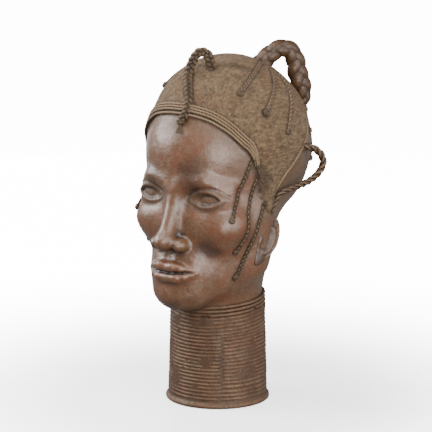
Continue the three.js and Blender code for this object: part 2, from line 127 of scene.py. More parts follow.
lowerLip = [(0, -79.6, mouthLine - 5.4, 5.4), (8, -78.8, mouthLine - 5.2, 5.2),
            (15, -75.6, mouthLine - 3.8, 4), (20, -72.2, mouthLine - 2, 2.6),
            (24, -69.8, mouthLine - 0.4, 1.3)]
# Forms that melt into the skull one after the other: a ball's centre or a bar's two ends, its
# radii, and the width of the melt. What stands aside is on both sides
headForms = [
    ("forehead", (0, -20, 250), (58, 51, 46), 22),
    ("face", (0, -10, 184), (63.5, 62, 82), 24),
    ("cheek", (38, -43, 189), (22, 21, 19), 18),
    ("jaw", ((40, -8, 149), (14, -56, 121)), (14, 15), 21),
    ("jaw corner", ((40, -8, 149), (46, -6, 196)), (14, 16), 18),
    ("muzzle", (0, -56, mouthLine), (32, 23, 25), 18),
    ("chin", (0, -62, face["chin"] + 16), (18, 17, 14.5), 15),
    ("throat", ((0, 0, 84), (0, 6, 170)), (45.5, 40), 18),
    ("inner brow", ((7, -64.5, browLine), (27, -61, browLine + 3)), (6.5, 6.5), 12),
    ("outer brow", ((27, -61, browLine + 3), (47, -46, browLine - 2)), (6.5, 4.5), 10),
]


def smoothMin(a, b, blend):
    h = np.maximum(blend - np.abs(a - b), 0) / blend
    return np.minimum(a, b) - h * h * blend / 4


def smoothMax(a, b, blend):
    return -smoothMin(-a, -b, blend)


def ramp(v, low, high):
    t = np.clip((v - low) / (high - low), 0, 1)
    return t * t * (3 - 2 * t)


def bell(v, width):
    return np.exp(-(v / width) ** 2)


def ellipsoid(x, y, z, centre, radii):
    u, v, w = (x - centre[0]) / radii[0], (y - centre[1]) / radii[1], (z - centre[2]) / radii[2]
    near = np.sqrt(u * u + v * v + w * w)
    steep = np.sqrt((u / radii[0]) ** 2 + (v / radii[1]) ** 2 + (w / radii[2]) ** 2)
    return near * (near - 1) / np.maximum(steep, 1e-9)


def roundCone(x, y, z, a, b, startRadius, endRadius):
    dx, dy, dz = b[0] - a[0], b[1] - a[1], b[2] - a[2]
    along = (x - a[0]) * dx + (y - a[1]) * dy + (z - a[2]) * dz
    t = np.clip(along / (dx * dx + dy * dy + dz * dz), 0, 1)
    gap = np.sqrt((x - a[0] - dx * t) ** 2 + (y - a[1] - dy * t) ** 2 + (z - a[2] - dz * t) ** 2)
    return gap - startRadius - (endRadius - startRadius) * t


def beadChain(x, y, z, beads, blend):
    links = [roundCone(x, y, z, a, b, a[3], b[3]) for a, b in zip(beads, beads[1:])]
    whole = links[0]
    for link in links[1:]:
        whole = smoothMin(whole, link, blend)
    return whole


def through(rows, at):  # smooth curve through (position, value) rows, level at both ends
    table = np.array(rows, float)
    slopes = np.zeros(len(table))
    slopes[1:-1] = (table[2:, 1] - table[:-2, 1]) / (table[2:, 0] - table[:-2, 0])
    i = np.clip(np.searchsorted(table[:, 0], at) - 1, 0, len(table) - 2)
    span = table[i + 1, 0] - table[i, 0]
    t = np.clip((at - table[i, 0]) / span, 0, 1)
    rise = t * t * (3 - 2 * t)
    middle = table[i, 1] + (table[i + 1, 1] - table[i, 1]) * rise
    return middle + t * (1 - t) ** 2 * slopes[i] * span - t * t * (1 - t) * slopes[i + 1] * span


def outsideAlmond(x, z):  # distance outside the opening between the lids
    u = x - eye["centre"][0]
    v = z - eye["centre"][2] - 0.05 * u
    upperArc = (eye["half"] ** 2 + eye["up"] ** 2) / (2 * eye["up"])
    lowerArc = (eye["half"] ** 2 + eye["down"] ** 2) / (2 * eye["down"])
    above = np.hypot(u, v - eye["up"] + upperArc) - upperArc
    below = np.hypot(u, v + eye["down"] - lowerArc) - lowerArc
    return np.maximum(above, below)


def aboveCapEdge(x, y, z):
    around = np.degrees(np.arctan2(np.abs(x), cap["middleY"] - y))
    return 0.8 * (z - through(cap["edge"], around))


def skullField(x, y, z):
    lean = math.radians(skull["lean"])
    dy, dz = y - skull["y"], z - skull["z"]
    long = -dy * math.cos(lean) + dz * math.sin(lean)
    short = dy * math.sin(lean) + dz * math.cos(lean)
    radii = (skull["halfWidth"], skull["halfShort"], skull["halfLong"])
    return ellipsoid(x, short, long, (0, 0, 0), radii)


def eyeField(x, y, z, d):
    front, farOff = y < eye["front"], 50
    socket = ellipsoid(x, y, z, *eye["socket"])
    ball = np.where(front, ellipsoid(x, y, z, eye["centre"], eye["radii"]), farOff)
    lidRadii = [r + eye["lid"] for r in eye["radii"]]
    lids = np.where(front, ellipsoid(x, y, z, eye["centre"], lidRadii), farOff)
    opening = outsideAlmond(x, z)
    zone = ramp(-y, 40, 48) * (1 - ramp(np.abs(z - eyeLine), 16, 22))
    e = smoothMax(d, -socket, 12)
    e = smoothMin(e, smoothMax(lids, -opening, 1.2), 5)
    e = smoothMin(e, ball, 0.8)
    e = e - 0.9 * bell(opening - 1.4, 1.3) * zone
    return e + 1.1 * bell(opening - 5.2, 1.2) * zone * ramp(z - eyeLine, 1, 5)


def noseField(x, side, y, z, d):
    n = smoothMin(d, roundCone(x, y, z, *nose["bridge"]), 11)
    n = smoothMin(n, ellipsoid(x, y, z, *nose["tip"]), 6)
    n = smoothMin(n, ellipsoid(side, y, z, *nose["wing"]), 5)
    return smoothMax(n, -ellipsoid(side, y, z, *nose["nostril"]), 2)


def mouthField(x, y, z, d):
    front = ramp(-y, 58, 64)
    line = mouthLine - 0.8 * bell(x, 7) + 0.8 * ramp(x, 8, 22)
    m = smoothMin(d, beadChain(x, y, z, upperLip, 3), 3.2)
    m = smoothMin(m, beadChain(x, y, z, lowerLip, 3), 3.2)
    m = m + 1.7 * bell(z - line, 1.5) * (1 - ramp(x, 20, 27)) * front
    groove = ramp(z, mouthLine + 9, mouthLine + 13) * (1 - ramp(z, noseBase - 5, noseBase))
    return m + 1.2 * bell(x, 3.2) * groove * front


def bareHead(x, y, z):  # the head without its cap
    side = np.sqrt(x * x + 9) - 3
    d = skullField(x, y, z)
    for _, place, radii, fillet in headForms:
        if len(radii) == 3:
            form = ellipsoid(side if place[0] else x, y, z, place, radii)
        else:
            form = roundCone(side if place[0][0] else x, y, z, *place, *radii)
        d = smoothMin(d, form, fillet)
    d = eyeField(side, y, z, d)
    d = noseField(x, side, y, z, d)
    return mouthField(side, y, z, d)


def headField(x, y, z):
    return bareHead(x, y, z) - cap["thickness"] * ramp(aboveCapEdge(x, y, z), 0, cap["softness"])


# The shape of an ear: a dish with a rolled rim, an inner fold, a hollow and a lobe
ear = {
    "centre": (63, -5, 170), "halfHeight": 27.5, "halfWidth": 15, "tilt": 33, "flare": 12,
    "cols": 120, "rows": 100,
}


def earField(x, y, z):
    tilt, flare = math.radians(ear["tilt"]), math.radians(ear["flare"])
    dx, dy, dz = (v - c for v, c in zip((x, y, z), ear["centre"]))
    back = dy * math.cos(tilt) - dz * math.sin(tilt)
    up = dy * math.sin(tilt) + dz * math.cos(tilt)
    out = dx * math.cos(flare) - back * math.sin(flare)
    across = dx * math.sin(flare) + back * math.cos(flare)
    narrow = ear["halfWidth"] * (1 - 0.42 * ramp(-up, -6, ear["halfHeight"]))
    reach = np.hypot(across / narrow, up / ear["halfHeight"])
    plate = ellipsoid(across, out, up, (0, 0, 0), (narrow, 5, ear["halfHeight"]))
    rimZone = ramp(out, 0, 3) * ramp(up, -20, -8)
    rim = 1.9 * bell(reach - 0.84, 0.11) * rimZone
    groove = 1.3 * bell(reach - 0.66, 0.09) * rimZone * ramp(across, -6, 2)
    fold = 1.2 * bell(reach - 0.5, 0.1) * rimZone * ramp(across, -4, 3)
    hollow = ellipsoid(across, out, up, (-2.5, 8, 0), (6.5, 6.6, 12))
    flap = ellipsoid(across, out, up, (-9.5, 3.5, -3), (3.6, 3.2, 6))
    shell = smoothMax(plate - rim + groove - fold, -hollow, 2.5)
    return smoothMin(shell, flap, 2)


# Walking on a field
def slopeOf(field, points, here):
    h = 0.12
    return np.stack([(field(*(points + axis).T) - here) / h for axis in np.eye(3) * h], -1)


def settle(field, points, rounds=1):  # slides points onto the surface
    for _ in range(rounds):
        here = field(*points.T)
        slope = slopeOf(field, points, here)
        step = np.clip(here / np.maximum((slope * slope).sum(-1), 0.25), -2, 2)
        points = points - slope * step[:, None]
    return points


def outwardOf(field, points):
    slope = slopeOf(field, points, field(*points.T))
    return slope / np.linalg.norm(slope, axis=1)[:, None]


marching = {"most": 120, "near": 0.02, "caution": 0.7, "least": 0.05}


def reachFrom(field, origins, rays, start):  # marches in along rays until it meets the surface
    far = np.full(len(rays), float(start))
    live = np.arange(len(rays))
    for _ in range(marching["most"]):
        p = origins[live] + rays[live] * far[live, None]
        d = field(*p.T)
        step = np.maximum(d * marching["caution"], marching["least"])
        far[live] -= np.where(d < marching["near"], 0, step)
        live = live[d >= marching["near"]]
        if len(live) == 0:
            break
    return origins + rays * far[:, None]


def spread(count, weight):  # positions from 0 to 1 that crowd where the weight is large
    steps = 4000
    sums = np.concatenate([[0], np.cumsum(weight((np.arange(steps) + 0.5) / steps))])
    return np.interp(sums[-1] * np.arange(count) / count, sums, np.arange(steps + 1) / steps)


# A closed skin round a field: rays go out from an upright core and stop at the surface, then the
# net relaxes on it
def wrapField(field, core, around, down):
    top, low, arc = core["top"], core["low"], core["arc"]
    s = down * (2 * arc + top - low)
    upperTilt, lowerTilt = 80, 102  # of the rays from the core's two ends
    middle = upperTilt + (lowerTilt - upperTilt) * (s - arc) / max(top - low, 1e-6)
    bottom = lowerTilt + (180 - lowerTilt) * (s - arc - top + low) / arc
    polar = np.where(s < arc, upperTilt * s / arc, np.where(s < arc + top - low, middle, bottom))
    height = np.clip(top - (s - arc), low, top)
    tilt, turn = np.meshgrid(np.radians(polar), around * 2 * np.pi, indexing="ij")
    rays = np.stack([np.sin(tilt) * np.sin(turn), -np.sin(tilt) * np.cos(turn), np.cos(tilt)], -1)
    rays = np.vstack([[0, 0, 1], rays.reshape(-1, 3), [0, 0, -1]])
    height = np.concatenate([[top], np.repeat(height, len(around)), [low]])
    origins = np.stack([np.full(len(rays), core["x"]), np.full(len(rays), core["y"]), height], -1)
    points = reachFrom(field, origins, rays, core["start"])
    cols, rows = len(around), len(down)
    for _ in range(core["relax"]):
        grid = points[1:-1].reshape(rows, cols, 3)
        above = np.vstack([np.broadcast_to(points[0], (1, cols, 3)), grid[:-1]])
        below = np.vstack([grid[1:], np.broadcast_to(points[-1], (1, cols, 3))])
        mean = (above + below + np.roll(grid, 1, 1) + np.roll(grid, -1, 1)) / 4
        points[1:-1] = (grid * 0.5 + mean * 0.5).reshape(-1, 3)
        points = settle(field, points)
    points = settle(field, points, 2)
    return points, gridFaces(rows, cols)


def gridFaces(rows, cols):  # rows of points round an axis, with one point at each end
    i = np.arange(rows - 1)[:, None] * cols + 1
    j = np.arange(cols)[None, :]
    k = (j + 1) % cols
    quads = np.stack([i + j, i + cols + j, i + cols + k, i + k], -1).reshape(-1, 4)
    j, k = j[0], k[0]
    last = 1 + (rows - 1) * cols
    caps = [(0, 1 + a, 1 + b) for a, b in zip(j, k)]
    caps += [(last + cols, last + b, last + a) for a, b in zip(j, k)]
    return [tuple(q) for q in quads.tolist()] + [tuple(int(v) for v in c) for c in caps]


def waxNoise(points, size, seed):  # smooth random waves of a given size, from -1 to 1
    cells = 32
    lattice = np.random.default_rng(seed).uniform(-1, 1, (cells, cells, cells))
    p = points / size + seed * 7.31  # each seed lies elsewhere on the lattice
    cell = np.floor(p).astype(int)
    t = p - cell
    t = t * t * (3 - 2 * t)
    total = np.zeros(len(points))
    for corner in np.ndindex(2, 2, 2):
        weight = np.prod(np.where(corner, t, 1 - t), axis=1)
        i, j, k = ((cell + corner) % cells).T
        total += weight * lattice[i, j, k]
    return total


def storeMasks(mesh, masks):  # a value at each point, for finishes and trees to read
    for name, values in masks.items():
        layer = mesh.attributes.new(name, "FLOAT", "POINT")
        everywhere = np.broadcast_to(values, len(mesh.vertices))
        layer.data.foreach_set("value", np.ascontiguousarray(everywhere, dtype=np.float32))


def asObject(name, points, faces, material, masks):
    mesh = bpy.data.meshes.new(name)
    mesh.from_pydata((points * mm).tolist(), [], faces)
    mesh.shade_smooth()
    storeMasks(mesh, masks)
    mesh.materials.append(material)
    return addObject(name, mesh)


def takeItsPlace(piece):
    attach(piece, "root")
    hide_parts("bronze_head")


# Bronze finishes. A pattern is a noise: its size, the levels where it starts and where it is
# full, and its detail. A layer is a mask, how strong it is, and the colour it lays over the rest
def perMetre(size):  # noise scale for a pattern of this many millimetres
    return 1000 / size


def steppedNoise(tree, coords, size, start, full, detail):
    noise = addNode(tree, "ShaderNodeTexNoise", {
        "Vector": coords, "Scale": perMetre(size), "Detail": detail, "Roughness": 0.6})
    return addNode(tree, "ShaderNodeMapRange", {
        "Value": noise, "From Min": start, "From Max": full}, interpolation_type="SMOOTHSTEP")


def layered(tree, colour, look, layers, masks):
    for mask, strength, tone in layers:
        amount = addNode(tree, "ShaderNodeMath", {0: masks[mask], 1: strength},
                         operation="MULTIPLY")
        mix = addNode(tree, "ShaderNodeMix", {0: amount, 6: colour, 7: linear(look[tone])},
                      data_type="RGBA")
        colour = mix.outputs[2]
    return colour


def startFinish(name, maskNames):
    material = bpy.data.materials.new(name)
    material.use_nodes = True
    tree = material.node_tree
    tree.nodes.clear()
    coords = addNode(tree, "ShaderNodeTexCoord", {}).outputs["Object"]
    masks = {mask: addNode(tree, "ShaderNodeAttribute", {}, attribute_name=mask).outputs["Fac"]
             for mask in maskNames}
    return material, tree, coords, masks


# Cast bronze under a brown chemical patina, hand rubbed on the skin: satin, with soft broad
# highlights, red-brown where the patina is thin, tan-grey where it was never rubbed, and dark
# with dirt and painted shade in its hollows and beside its cords
skinLook = {
    "brown": "#56371f", "red": "#5f351c", "grey": "#5f4b38", "dark": "#1f120a", "worn": "#775434",
    "dirtAndShade": "#170e08", "stain": "#2f1b0f", "dull": "#503d29", "metallic": 0.1, "roughness": 0.4,
    "grainRoughness": 0.14, "coat": 0.42, "coatRoughness": 0.3, "bump": 0.8, "reliefDepth": 0.6,
    "stainBreak": 0.35, "stainLeast": 0.6, "dullDryness": 0.5,
    "patterns": {
        "patches": (34, 0.42, 0.62, 4), "mottles": (8, 0.38, 0.68, 6), "grain": (2.6, 0.35, 0.7, 4),
        "specks": (1.5, 0.52, 0.72, 4), "nicks": (3.4, 0.66, 0.74, 2)},
    "layers": [
        ("patches", 1, "red"), ("mottles", 0.5, "grey"), ("dull", 0.8, "dull"),
        ("grain", 0.22, "dark"), ("specks", 0.32, "dark"), ("nicks", 0.6, "worn"),
        ("brokenStain", 1, "stain")],
    "relief": [("grain", 0.22), ("mottles", 0.35)],
}
# The cap is the same casting left unrubbed: dull tan-grey with a rough fibrous grain, which runs
# steeply across the Object coordinates
capLook = {
    "tan": "#57432c", "olive": "#433220", "dusk": "#251a10", "pale": "#7a6448", "rust": "#4e341e",
    "ash": "#605340", "roughness": 0.78, "relief": 1.6,
    "grainTurn": (0.3, 0.7, 0.6), "grainStretch": (1, 0.25, 1),
    "patterns": {
        "stains": (15, 0.38, 0.66, 5), "pits": (4.4, 0.45, 0.72, 4), "clouds": (42, 0.45, 0.6, 3)},
    "grainPatterns": {"hatch": (2.2, 0.35, 0.68, 3), "ashen": (15, 0.5, 0.72, 4)},
    "layers": [
        ("stains", 1, "olive"), ("clouds", 0.7, "rust"), ("ashen", 0.7, "ash"),
        ("hatch", 0.5, "pale"), ("pits", 0.5, "dusk")],
}


def headFinish():
    material, tree, coords, masks = startFinish(
        "rubbedBronzePatina", ("onCap", "hollow", "worn", "stain", "dull"))
    grainCoords = addNode(tree, "ShaderNodeMapping", {
        "Vector": coords, "Rotation": capLook["grainTurn"], "Scale": capLook["grainStretch"]})
    for where, patterns in ((coords, skinLook["patterns"]), (coords, capLook["patterns"]),
                            (grainCoords, capLook["grainPatterns"])):
        for name, pattern in patterns.items():
            masks[name] = steppedNoise(tree, where, *pattern)
    broken = addNode(tree, "ShaderNodeMath", {
        0: masks["patches"], 1: skinLook["stainBreak"], 2: skinLook["stainLeast"]},
        operation="MULTIPLY_ADD")
    masks["brokenStain"] = addNode(tree, "ShaderNodeMath", {0: masks["stain"], 1: broken},
                                   operation="MULTIPLY")
    skin = layered(tree, linear(skinLook["brown"]), skinLook, skinLook["layers"], masks)
    cloth = layered(tree, linear(capLook["tan"]), capLook, capLook["layers"], masks)
    both = addNode(tree, "ShaderNodeMix", {0: masks["onCap"], 6: skin, 7: cloth}, data_type="RGBA")
    # Wear lightens the ridges; dirt and painted shade darken the hollows
    colour = layered(tree, both.outputs[2], skinLook, [("worn", 1, "worn"), ("hollow", 1, "dirtAndShade")],
                     masks)
    unrubbed = addNode(tree, "ShaderNodeMath", {
        0: masks["dull"], 1: skinLook["dullDryness"], 2: masks["onCap"]}, operation="MULTIPLY_ADD")
    dryness = addNode(tree, "ShaderNodeMapRange", {
        "Value": unrubbed, "To Min": skinLook["roughness"], "To Max": capLook["roughness"]})
    rough = addNode(tree, "ShaderNodeMath", {
        0: masks["grain"], 1: skinLook["grainRoughness"], 2: dryness}, operation="MULTIPLY_ADD")
    wax = addNode(tree, "ShaderNodeMapRange", {  # what the rubbing hand leaves on the skin
        "Value": unrubbed, "To Min": skinLook["coat"], "To Max": 0.0})
    fibres = addNode(tree, "ShaderNodeMath", {0: masks["hatch"], 1: masks["pits"]},
                     operation="SUBTRACT")
    deep = addNode(tree, "ShaderNodeMath", {0: fibres, 1: capLook["relief"]}, operation="MULTIPLY")
    relief = addNode(tree, "ShaderNodeMath", {0: deep, 1: masks["onCap"]}, operation="MULTIPLY")
    for name, share in skinLook["relief"]:
        relief = addNode(tree, "ShaderNodeMath", {0: masks[name], 1: share, 2: relief},
                         operation="MULTIPLY_ADD")
    bump = addNode(tree, "ShaderNodeBump", {
        "Height": relief, "Distance": skinLook["reliefDepth"] * mm,
        "Strength": skinLook["bump"]})
    shader = addNode(tree, "ShaderNodeBsdfPrincipled", {
        "Base Color": colour, "Metallic": skinLook["metallic"], "Roughness": rough, "Normal": bump,
        "Coat Weight": wax, "Coat Roughness": skinLook["coatRoughness"]})
    addNode(tree, "ShaderNodeOutputMaterial", {"Surface": shader})
    return material


# Cords, band and neck: the same bronze, dark and dull in its grooves with dirt and painted shade,
# rubbed on its ridges
groovedLook = {
    "patches": (0.4, 0.65, 4), "mottles": (0.42, 0.7, 6), "metallic": 0.25, "bump": 0.7,
    "mottleRoughness": 0.15, "reliefDepth": 0.3,
    "layers": [("patches", 1, "second"), ("mottles", 0.5, "dusk"), ("worn", 1, "worn"),
               ("hollow", 1, "dirtAndShade")],
}


def groovedFinish(name, look):
    material, tree, coords, masks = startFinish(name, ("hollow", "worn"))
    for pattern in ("patches", "mottles"):
        masks[pattern] = steppedNoise(tree, coords, look[pattern], *groovedLook[pattern])
    rough = addNode(tree, "ShaderNodeMath", {
        0: masks["mottles"], 1: groovedLook["mottleRoughness"], 2: look["roughness"]},
        operation="MULTIPLY_ADD")
    bump = addNode(tree, "ShaderNodeBump", {
        "Height": masks["mottles"], "Distance": groovedLook["reliefDepth"] * mm,
        "Strength": groovedLook["bump"]})
    shader = addNode(tree, "ShaderNodeBsdfPrincipled", {
        "Base Color": layered(tree, linear(look["main"]), look, groovedLook["layers"], masks),
        "Metallic": groovedLook["metallic"], "Roughness": rough, "Normal": bump})
    addNode(tree, "ShaderNodeOutputMaterial", {"Surface": shader})
    return material


skinBronze = headFinish()
plaitBronze = groovedFinish("darkPlaitBronze", {
    "main": "#362513", "second": "#423019", "dusk": "#21170d", "worn": "#65502f", "dirtAndShade": "#0b0805",
    "patches": 14, "mottles": 2, "roughness": 0.6})
loopBronze = groovedFinish("smoothLoopBronze", {
    "main": "#34200f", "second": "#3f2a16", "dusk": "#20140b", "worn": "#4f3a22", "dirtAndShade": "#0d0804",
    "patches": 20, "mottles": 3, "roughness": 0.4})
bandBronze = groovedFinish("bandBronze", {
    "main": "#594431", "second": "#4c3a29", "dusk": "#32261b", "worn": "#7c664b", "dirtAndShade": "#150e08",
    "patches": 14, "mottles": 2, "roughness": 0.62})
neckBronze = groovedFinish("ringedNeckBronze", {
    "main": "#51341f", "second": "#533e29", "dusk": "#33241a", "worn": "#6b5239", "dirtAndShade": "#1a1009",
    "patches": 15, "mottles": 3, "roughness": 0.6})
print("finishes made")


# Paths for cords
def pathThrough(points, step):  # centripetal curve through points, sampled every step
    p = np.array(points, float)
    p = np.vstack([2 * p[0] - p[1], p, 2 * p[-1] - p[-2]])
    samples = []
    for a, b, c, d in zip(p, p[1:], p[2:], p[3:]):
        before, along, after = (math.sqrt(np.linalg.norm(v)) for v in (b - a, c - b, d - c))
        start = (b - a) / before - (c - a) / (before + along) + (c - b) / along
        end = (c - b) / along - (d - b) / (along + after) + (d - c) / after
        t = np.linspace(0, 1, 24, endpoint=False)[:, None]
        start, end = start * along, end * along
        cubic = (2 * b - 2 * c + start + end) * t ** 3 + (3 * c - 3 * b - 2 * start - end) * t ** 2
        samples.append(cubic + start * t + b)
    samples = np.vstack(samples + [p[-2][None]])
    lengths = np.concatenate([[0], np.cumsum(np.linalg.norm(np.diff(samples, axis=0), axis=1))])
    count = max(4, round(lengths[-1] / step))
    at = np.linspace(0, lengths[-1], count + 1)
    return np.stack([np.interp(at, lengths, samples[:, i]) for i in range(3)], -1)


def laidPath(points, lift, step):  # a path that lies on the head
    spaced = pathThrough(points, 1.0)
    rough = spaced[np.linspace(0, len(spaced) - 1, 10).round().astype(int)]
    rough = settle(headField, rough, 6)
    path = settle(headField, pathThrough(rough, step), 3)
    ups = outwardOf(headField, path)
    return path + ups * lift, ups


def taperedPath(line, look, thick):  # a path along a line on the head, thinner at both ends
    path = settle(headField, pathThrough(line, look["step"]), look["rounds"])
    ups = outwardOf(bareHead, path)
    t = np.linspace(0, 1, len(path))
    thin = look["thin"]
    sizes = thick * (thin + (1 - thin) * ramp(np.minimum(t, 1 - t), 0, look["taper"]))
    return path + ups * look["lift"], ups, sizes


def freePath(points, step, up):  # a path in the air, its frame carried along
    path = pathThrough(points, step)
    tangents = np.gradient(path, axis=0)
    tangents /= np.linalg.norm(tangents, axis=1)[:, None]
    up = np.array(up, float)
    ups = []
    for t in tangents:
        up = up - t * (up @ t)
        up = up / np.linalg.norm(up)
        ups.append(up)
    return path, np.array(ups)


def onHead(around, height):  # points of the head at angles round it and heights
    turn = np.radians(around)
    rays = np.stack([np.sin(turn), -np.cos(turn), 0 * turn], -1)
    origins = np.stack([0 * turn, 0 * turn + cap["middleY"], height + 0 * turn], -1)
    outside = 125
    return settle(headField, reachFrom(headField, origins, rays, outside), 2)


def capEdgeHeight(around):  # height of the cap's edge at an angle round the head
    return through(cap["edge"], 180 - np.abs(np.mod(around, 360) - 180))


def mirrored(points, side):
    return [(p[0] * side, p[1], p[2]) for p in points]


def joined(paths):  # points, ups and sizes of several paths, each in one array
    return [np.concatenate(column) for column in zip(*paths)]


def pathMesh(name, paths):
    points, ups, sizes = joined(paths)
    edges = []
    start = 0
    for path, _, _ in paths:
        edges += [(start + i, start + i + 1) for i in range(len(path) - 1)]
        start += len(path)
    mesh = bpy.data.meshes.new(name)
    mesh.from_pydata((points * mm).tolist(), edges, [])
    up = mesh.attributes.new("up", "FLOAT_VECTOR", "POINT")
    up.data.foreach_set("vector", ups.ravel().astype(np.float32))
    storeMasks(mesh, {"size": sizes})
    return addObject(name, mesh)


def newTree(name, inputs):
    tree = bpy.data.node_groups.new(name, "GeometryNodeTree")
    tree.interface.new_socket("Geometry", in_out="INPUT", socket_type="NodeSocketGeometry")
    for kind, labels in inputs.items():
        for label in labels:
            tree.interface.new_socket(label, in_out="INPUT", socket_type="NodeSocket" + kind)
    tree.interface.new_socket("Geometry", in_out="OUTPUT", socket_type="NodeSocketGeometry")
    return tree, addNode(tree, "NodeGroupInput", {}).outputs


def closeTree(tree, geometry, finish):
    smooth = addNode(tree, "GeometryNodeSetShadeSmooth", {"Geometry": geometry})
    real = addNode(tree, "GeometryNodeRealizeInstances", {"Geometry": smooth})
    painted = addNode(tree, "GeometryNodeSetMaterial", {"Geometry": real, "Material": finish})
    addNode(tree, "NodeGroupOutput", {"Geometry": painted})
    return tree


def plaitTree():  # strands that weave or turn round a path
    tree, given = newTree("plaitedCord", {
        "Int": ("Strands", "Strand sides"), "Material": ("Finish",),
        "Float": ("Half width", "Half height", "Turn length", "Height waves", "Height start",
                  "Strand radius")})
    curve = addNode(tree, "GeometryNodeMeshToCurve", {"Mesh": given["Geometry"]})
    strands = addNode(tree, "GeometryNodeDuplicateElements", {
        "Geometry": curve, "Amount": given["Strands"]}, domain="SPLINE")
    along = addNode(tree, "GeometryNodeSplineParameter", {}).outputs["Length"]
    turns = addNode(tree, "ShaderNodeMath", {0: along, 1: given["Turn length"]}, operation="DIVIDE")
    share = addNode(tree, "ShaderNodeMath", {
        0: strands.outputs["Duplicate Index"], 1: given["Strands"]}, operation="DIVIDE")
    phase = addNode(tree, "ShaderNodeMath", {0: turns, 1: share}, operation="ADD")
    angle = addNode(tree, "ShaderNodeMath", {0: phase, 1: 2 * math.pi}, operation="MULTIPLY")
    wave = addNode(tree, "ShaderNodeMath", {
        0: angle, 1: given["Height waves"], 2: given["Height start"]}, operation="MULTIPLY_ADD")
    up = addNode(tree, "GeometryNodeInputNamedAttribute", {"Name": "up"}, data_type="FLOAT_VECTOR")
    size = addNode(tree, "GeometryNodeInputNamedAttribute", {"Name": "size"}, data_type="FLOAT")
    across = addNode(tree, "ShaderNodeVectorMath", {
        0: addNode(tree, "GeometryNodeInputTangent", {}), 1: up}, operation="CROSS_PRODUCT")
    shifts = []
    for swing, direction, label in ((angle, across, "Half width"), (wave, up, "Half height")):
        sway = addNode(tree, "ShaderNodeMath", {0: swing}, operation="SINE")
        reach = addNode(tree, "ShaderNodeMath", {0: given[label], 1: size}, operation="MULTIPLY")
        amount = addNode(tree, "ShaderNodeMath", {0: sway, 1: reach}, operation="MULTIPLY")
        shifts.append(addNode(tree, "ShaderNodeVectorMath", {0: direction, "Scale": amount},
                              operation="SCALE"))
    shift = addNode(tree, "ShaderNodeVectorMath", {0: shifts[0], 1: shifts[1]}, operation="ADD")
    woven = addNode(tree, "GeometryNodeSetPosition", {"Geometry": strands, "Offset": shift})
    radius = addNode(tree, "ShaderNodeMath", {0: given["Strand radius"], 1: size},
                     operation="MULTIPLY")
    section = addNode(tree, "GeometryNodeCurvePrimitiveCircle", {
        "Resolution": given["Strand sides"], "Radius": 1.0})
    tube = addNode(tree, "GeometryNodeCurveToMesh", {
        "Curve": woven, "Profile Curve": section, "Scale": radius, "Fill Caps": True})
    return closeTree(tree, tube, given["Finish"])


# A squat bead with a raised ring on top, at every point; lengths are shares of the knob's radius
tasselKnob = {
    "rings": 12, "squash": 0.72, "ringRadius": 0.56, "ringHeight": 0.56, "ringThick": 0.2,
}


def knobTree():
    tree, given = newTree("tasselKnob", {"Int": ("Sides",), "Material": ("Finish",)})
    up = addNode(tree, "GeometryNodeInputNamedAttribute", {"Name": "up"}, data_type="FLOAT_VECTOR")
    size = addNode(tree, "GeometryNodeInputNamedAttribute", {"Name": "size"}, data_type="FLOAT")
    bead = addNode(tree, "GeometryNodeMeshUVSphere", {
        "Segments": given["Sides"], "Rings": tasselKnob["rings"], "Radius": 1.0})
    squat = addNode(tree, "GeometryNodeTransform", {
        "Geometry": bead, "Scale": (1, 1, tasselKnob["squash"])})
    circle = addNode(tree, "GeometryNodeCurvePrimitiveCircle", {
        "Resolution": given["Sides"], "Radius": tasselKnob["ringRadius"]})
    section = addNode(tree, "GeometryNodeCurvePrimitiveCircle", {
        "Resolution": 8, "Radius": tasselKnob["ringThick"]})
    ring = addNode(tree, "GeometryNodeCurveToMesh", {"Curve": circle, "Profile Curve": section})
    raised = addNode(tree, "GeometryNodeTransform", {
        "Geometry": ring, "Translation": (0, 0, tasselKnob["ringHeight"])})
    whole = addNode(tree, "GeometryNodeJoinGeometry", {})
    for part in (squat, raised):
        tree.links.new(part.outputs[0], whole.inputs[0])
    points = addNode(tree, "GeometryNodeMeshToPoints", {"Mesh": given["Geometry"]})
    facing = addNode(tree, "FunctionNodeAlignRotationToVector", {"Vector": up}, axis="Z")
    scale = addNode(tree, "ShaderNodeMath", {0: size, 1: mm}, operation="MULTIPLY")
    placed = addNode(tree, "GeometryNodeInstanceOnPoints", {
        "Points": points, "Instance": whole, "Rotation": facing, "Scale": scale})
    return closeTree(tree, placed, given["Finish"])


def grow(source, tree, values):  # runs a tree on an object and keeps the result as a plain mesh
    modifier = source.modifiers.new("grow", "NODES")
    modifier.node_group = tree
    for item in tree.interface.items_tree:
        if item.in_out == "INPUT" and item.name in values:
            modifier[item.identifier] = values[item.name]
    evaluated = source.evaluated_get(bpy.context.evaluated_depsgraph_get())
    mesh = bpy.data.meshes.new_from_object(evaluated)
    source.modifiers.remove(modifier)
    name = source.name
    bpy.data.objects.remove(source)
    return addObject(name, mesh)


def pointsOf(piece):
    flat = np.empty(len(piece.data.vertices) * 3, dtype=np.float32)
    piece.data.vertices.foreach_get("co", flat)
    return flat.reshape(-1, 3) / mm


def paint(piece, hollow, worn):  # dirt with painted shade, and wear
    storeMasks(piece.data, {"hollow": np.clip(hollow, 0, 1), "worn": np.clip(worn, 0, 1)})


def nearestOn(axis, points):  # which axis point is nearest to each point, and how far off it is
    tree = KDTree(len(axis))
    for i, p in enumerate(axis):
        tree.insert(p, i)
    tree.balance()
    found = [tree.find(p) for p in points]
    return np.array([f[1] for f in found]), np.array([f[2] for f in found])


cordDirtShadeAndWear = {"grooves": 0.9, "underside": 0.35, "crests": 0.75, "knobFoot": 0.9, "knobRing": 0.8}


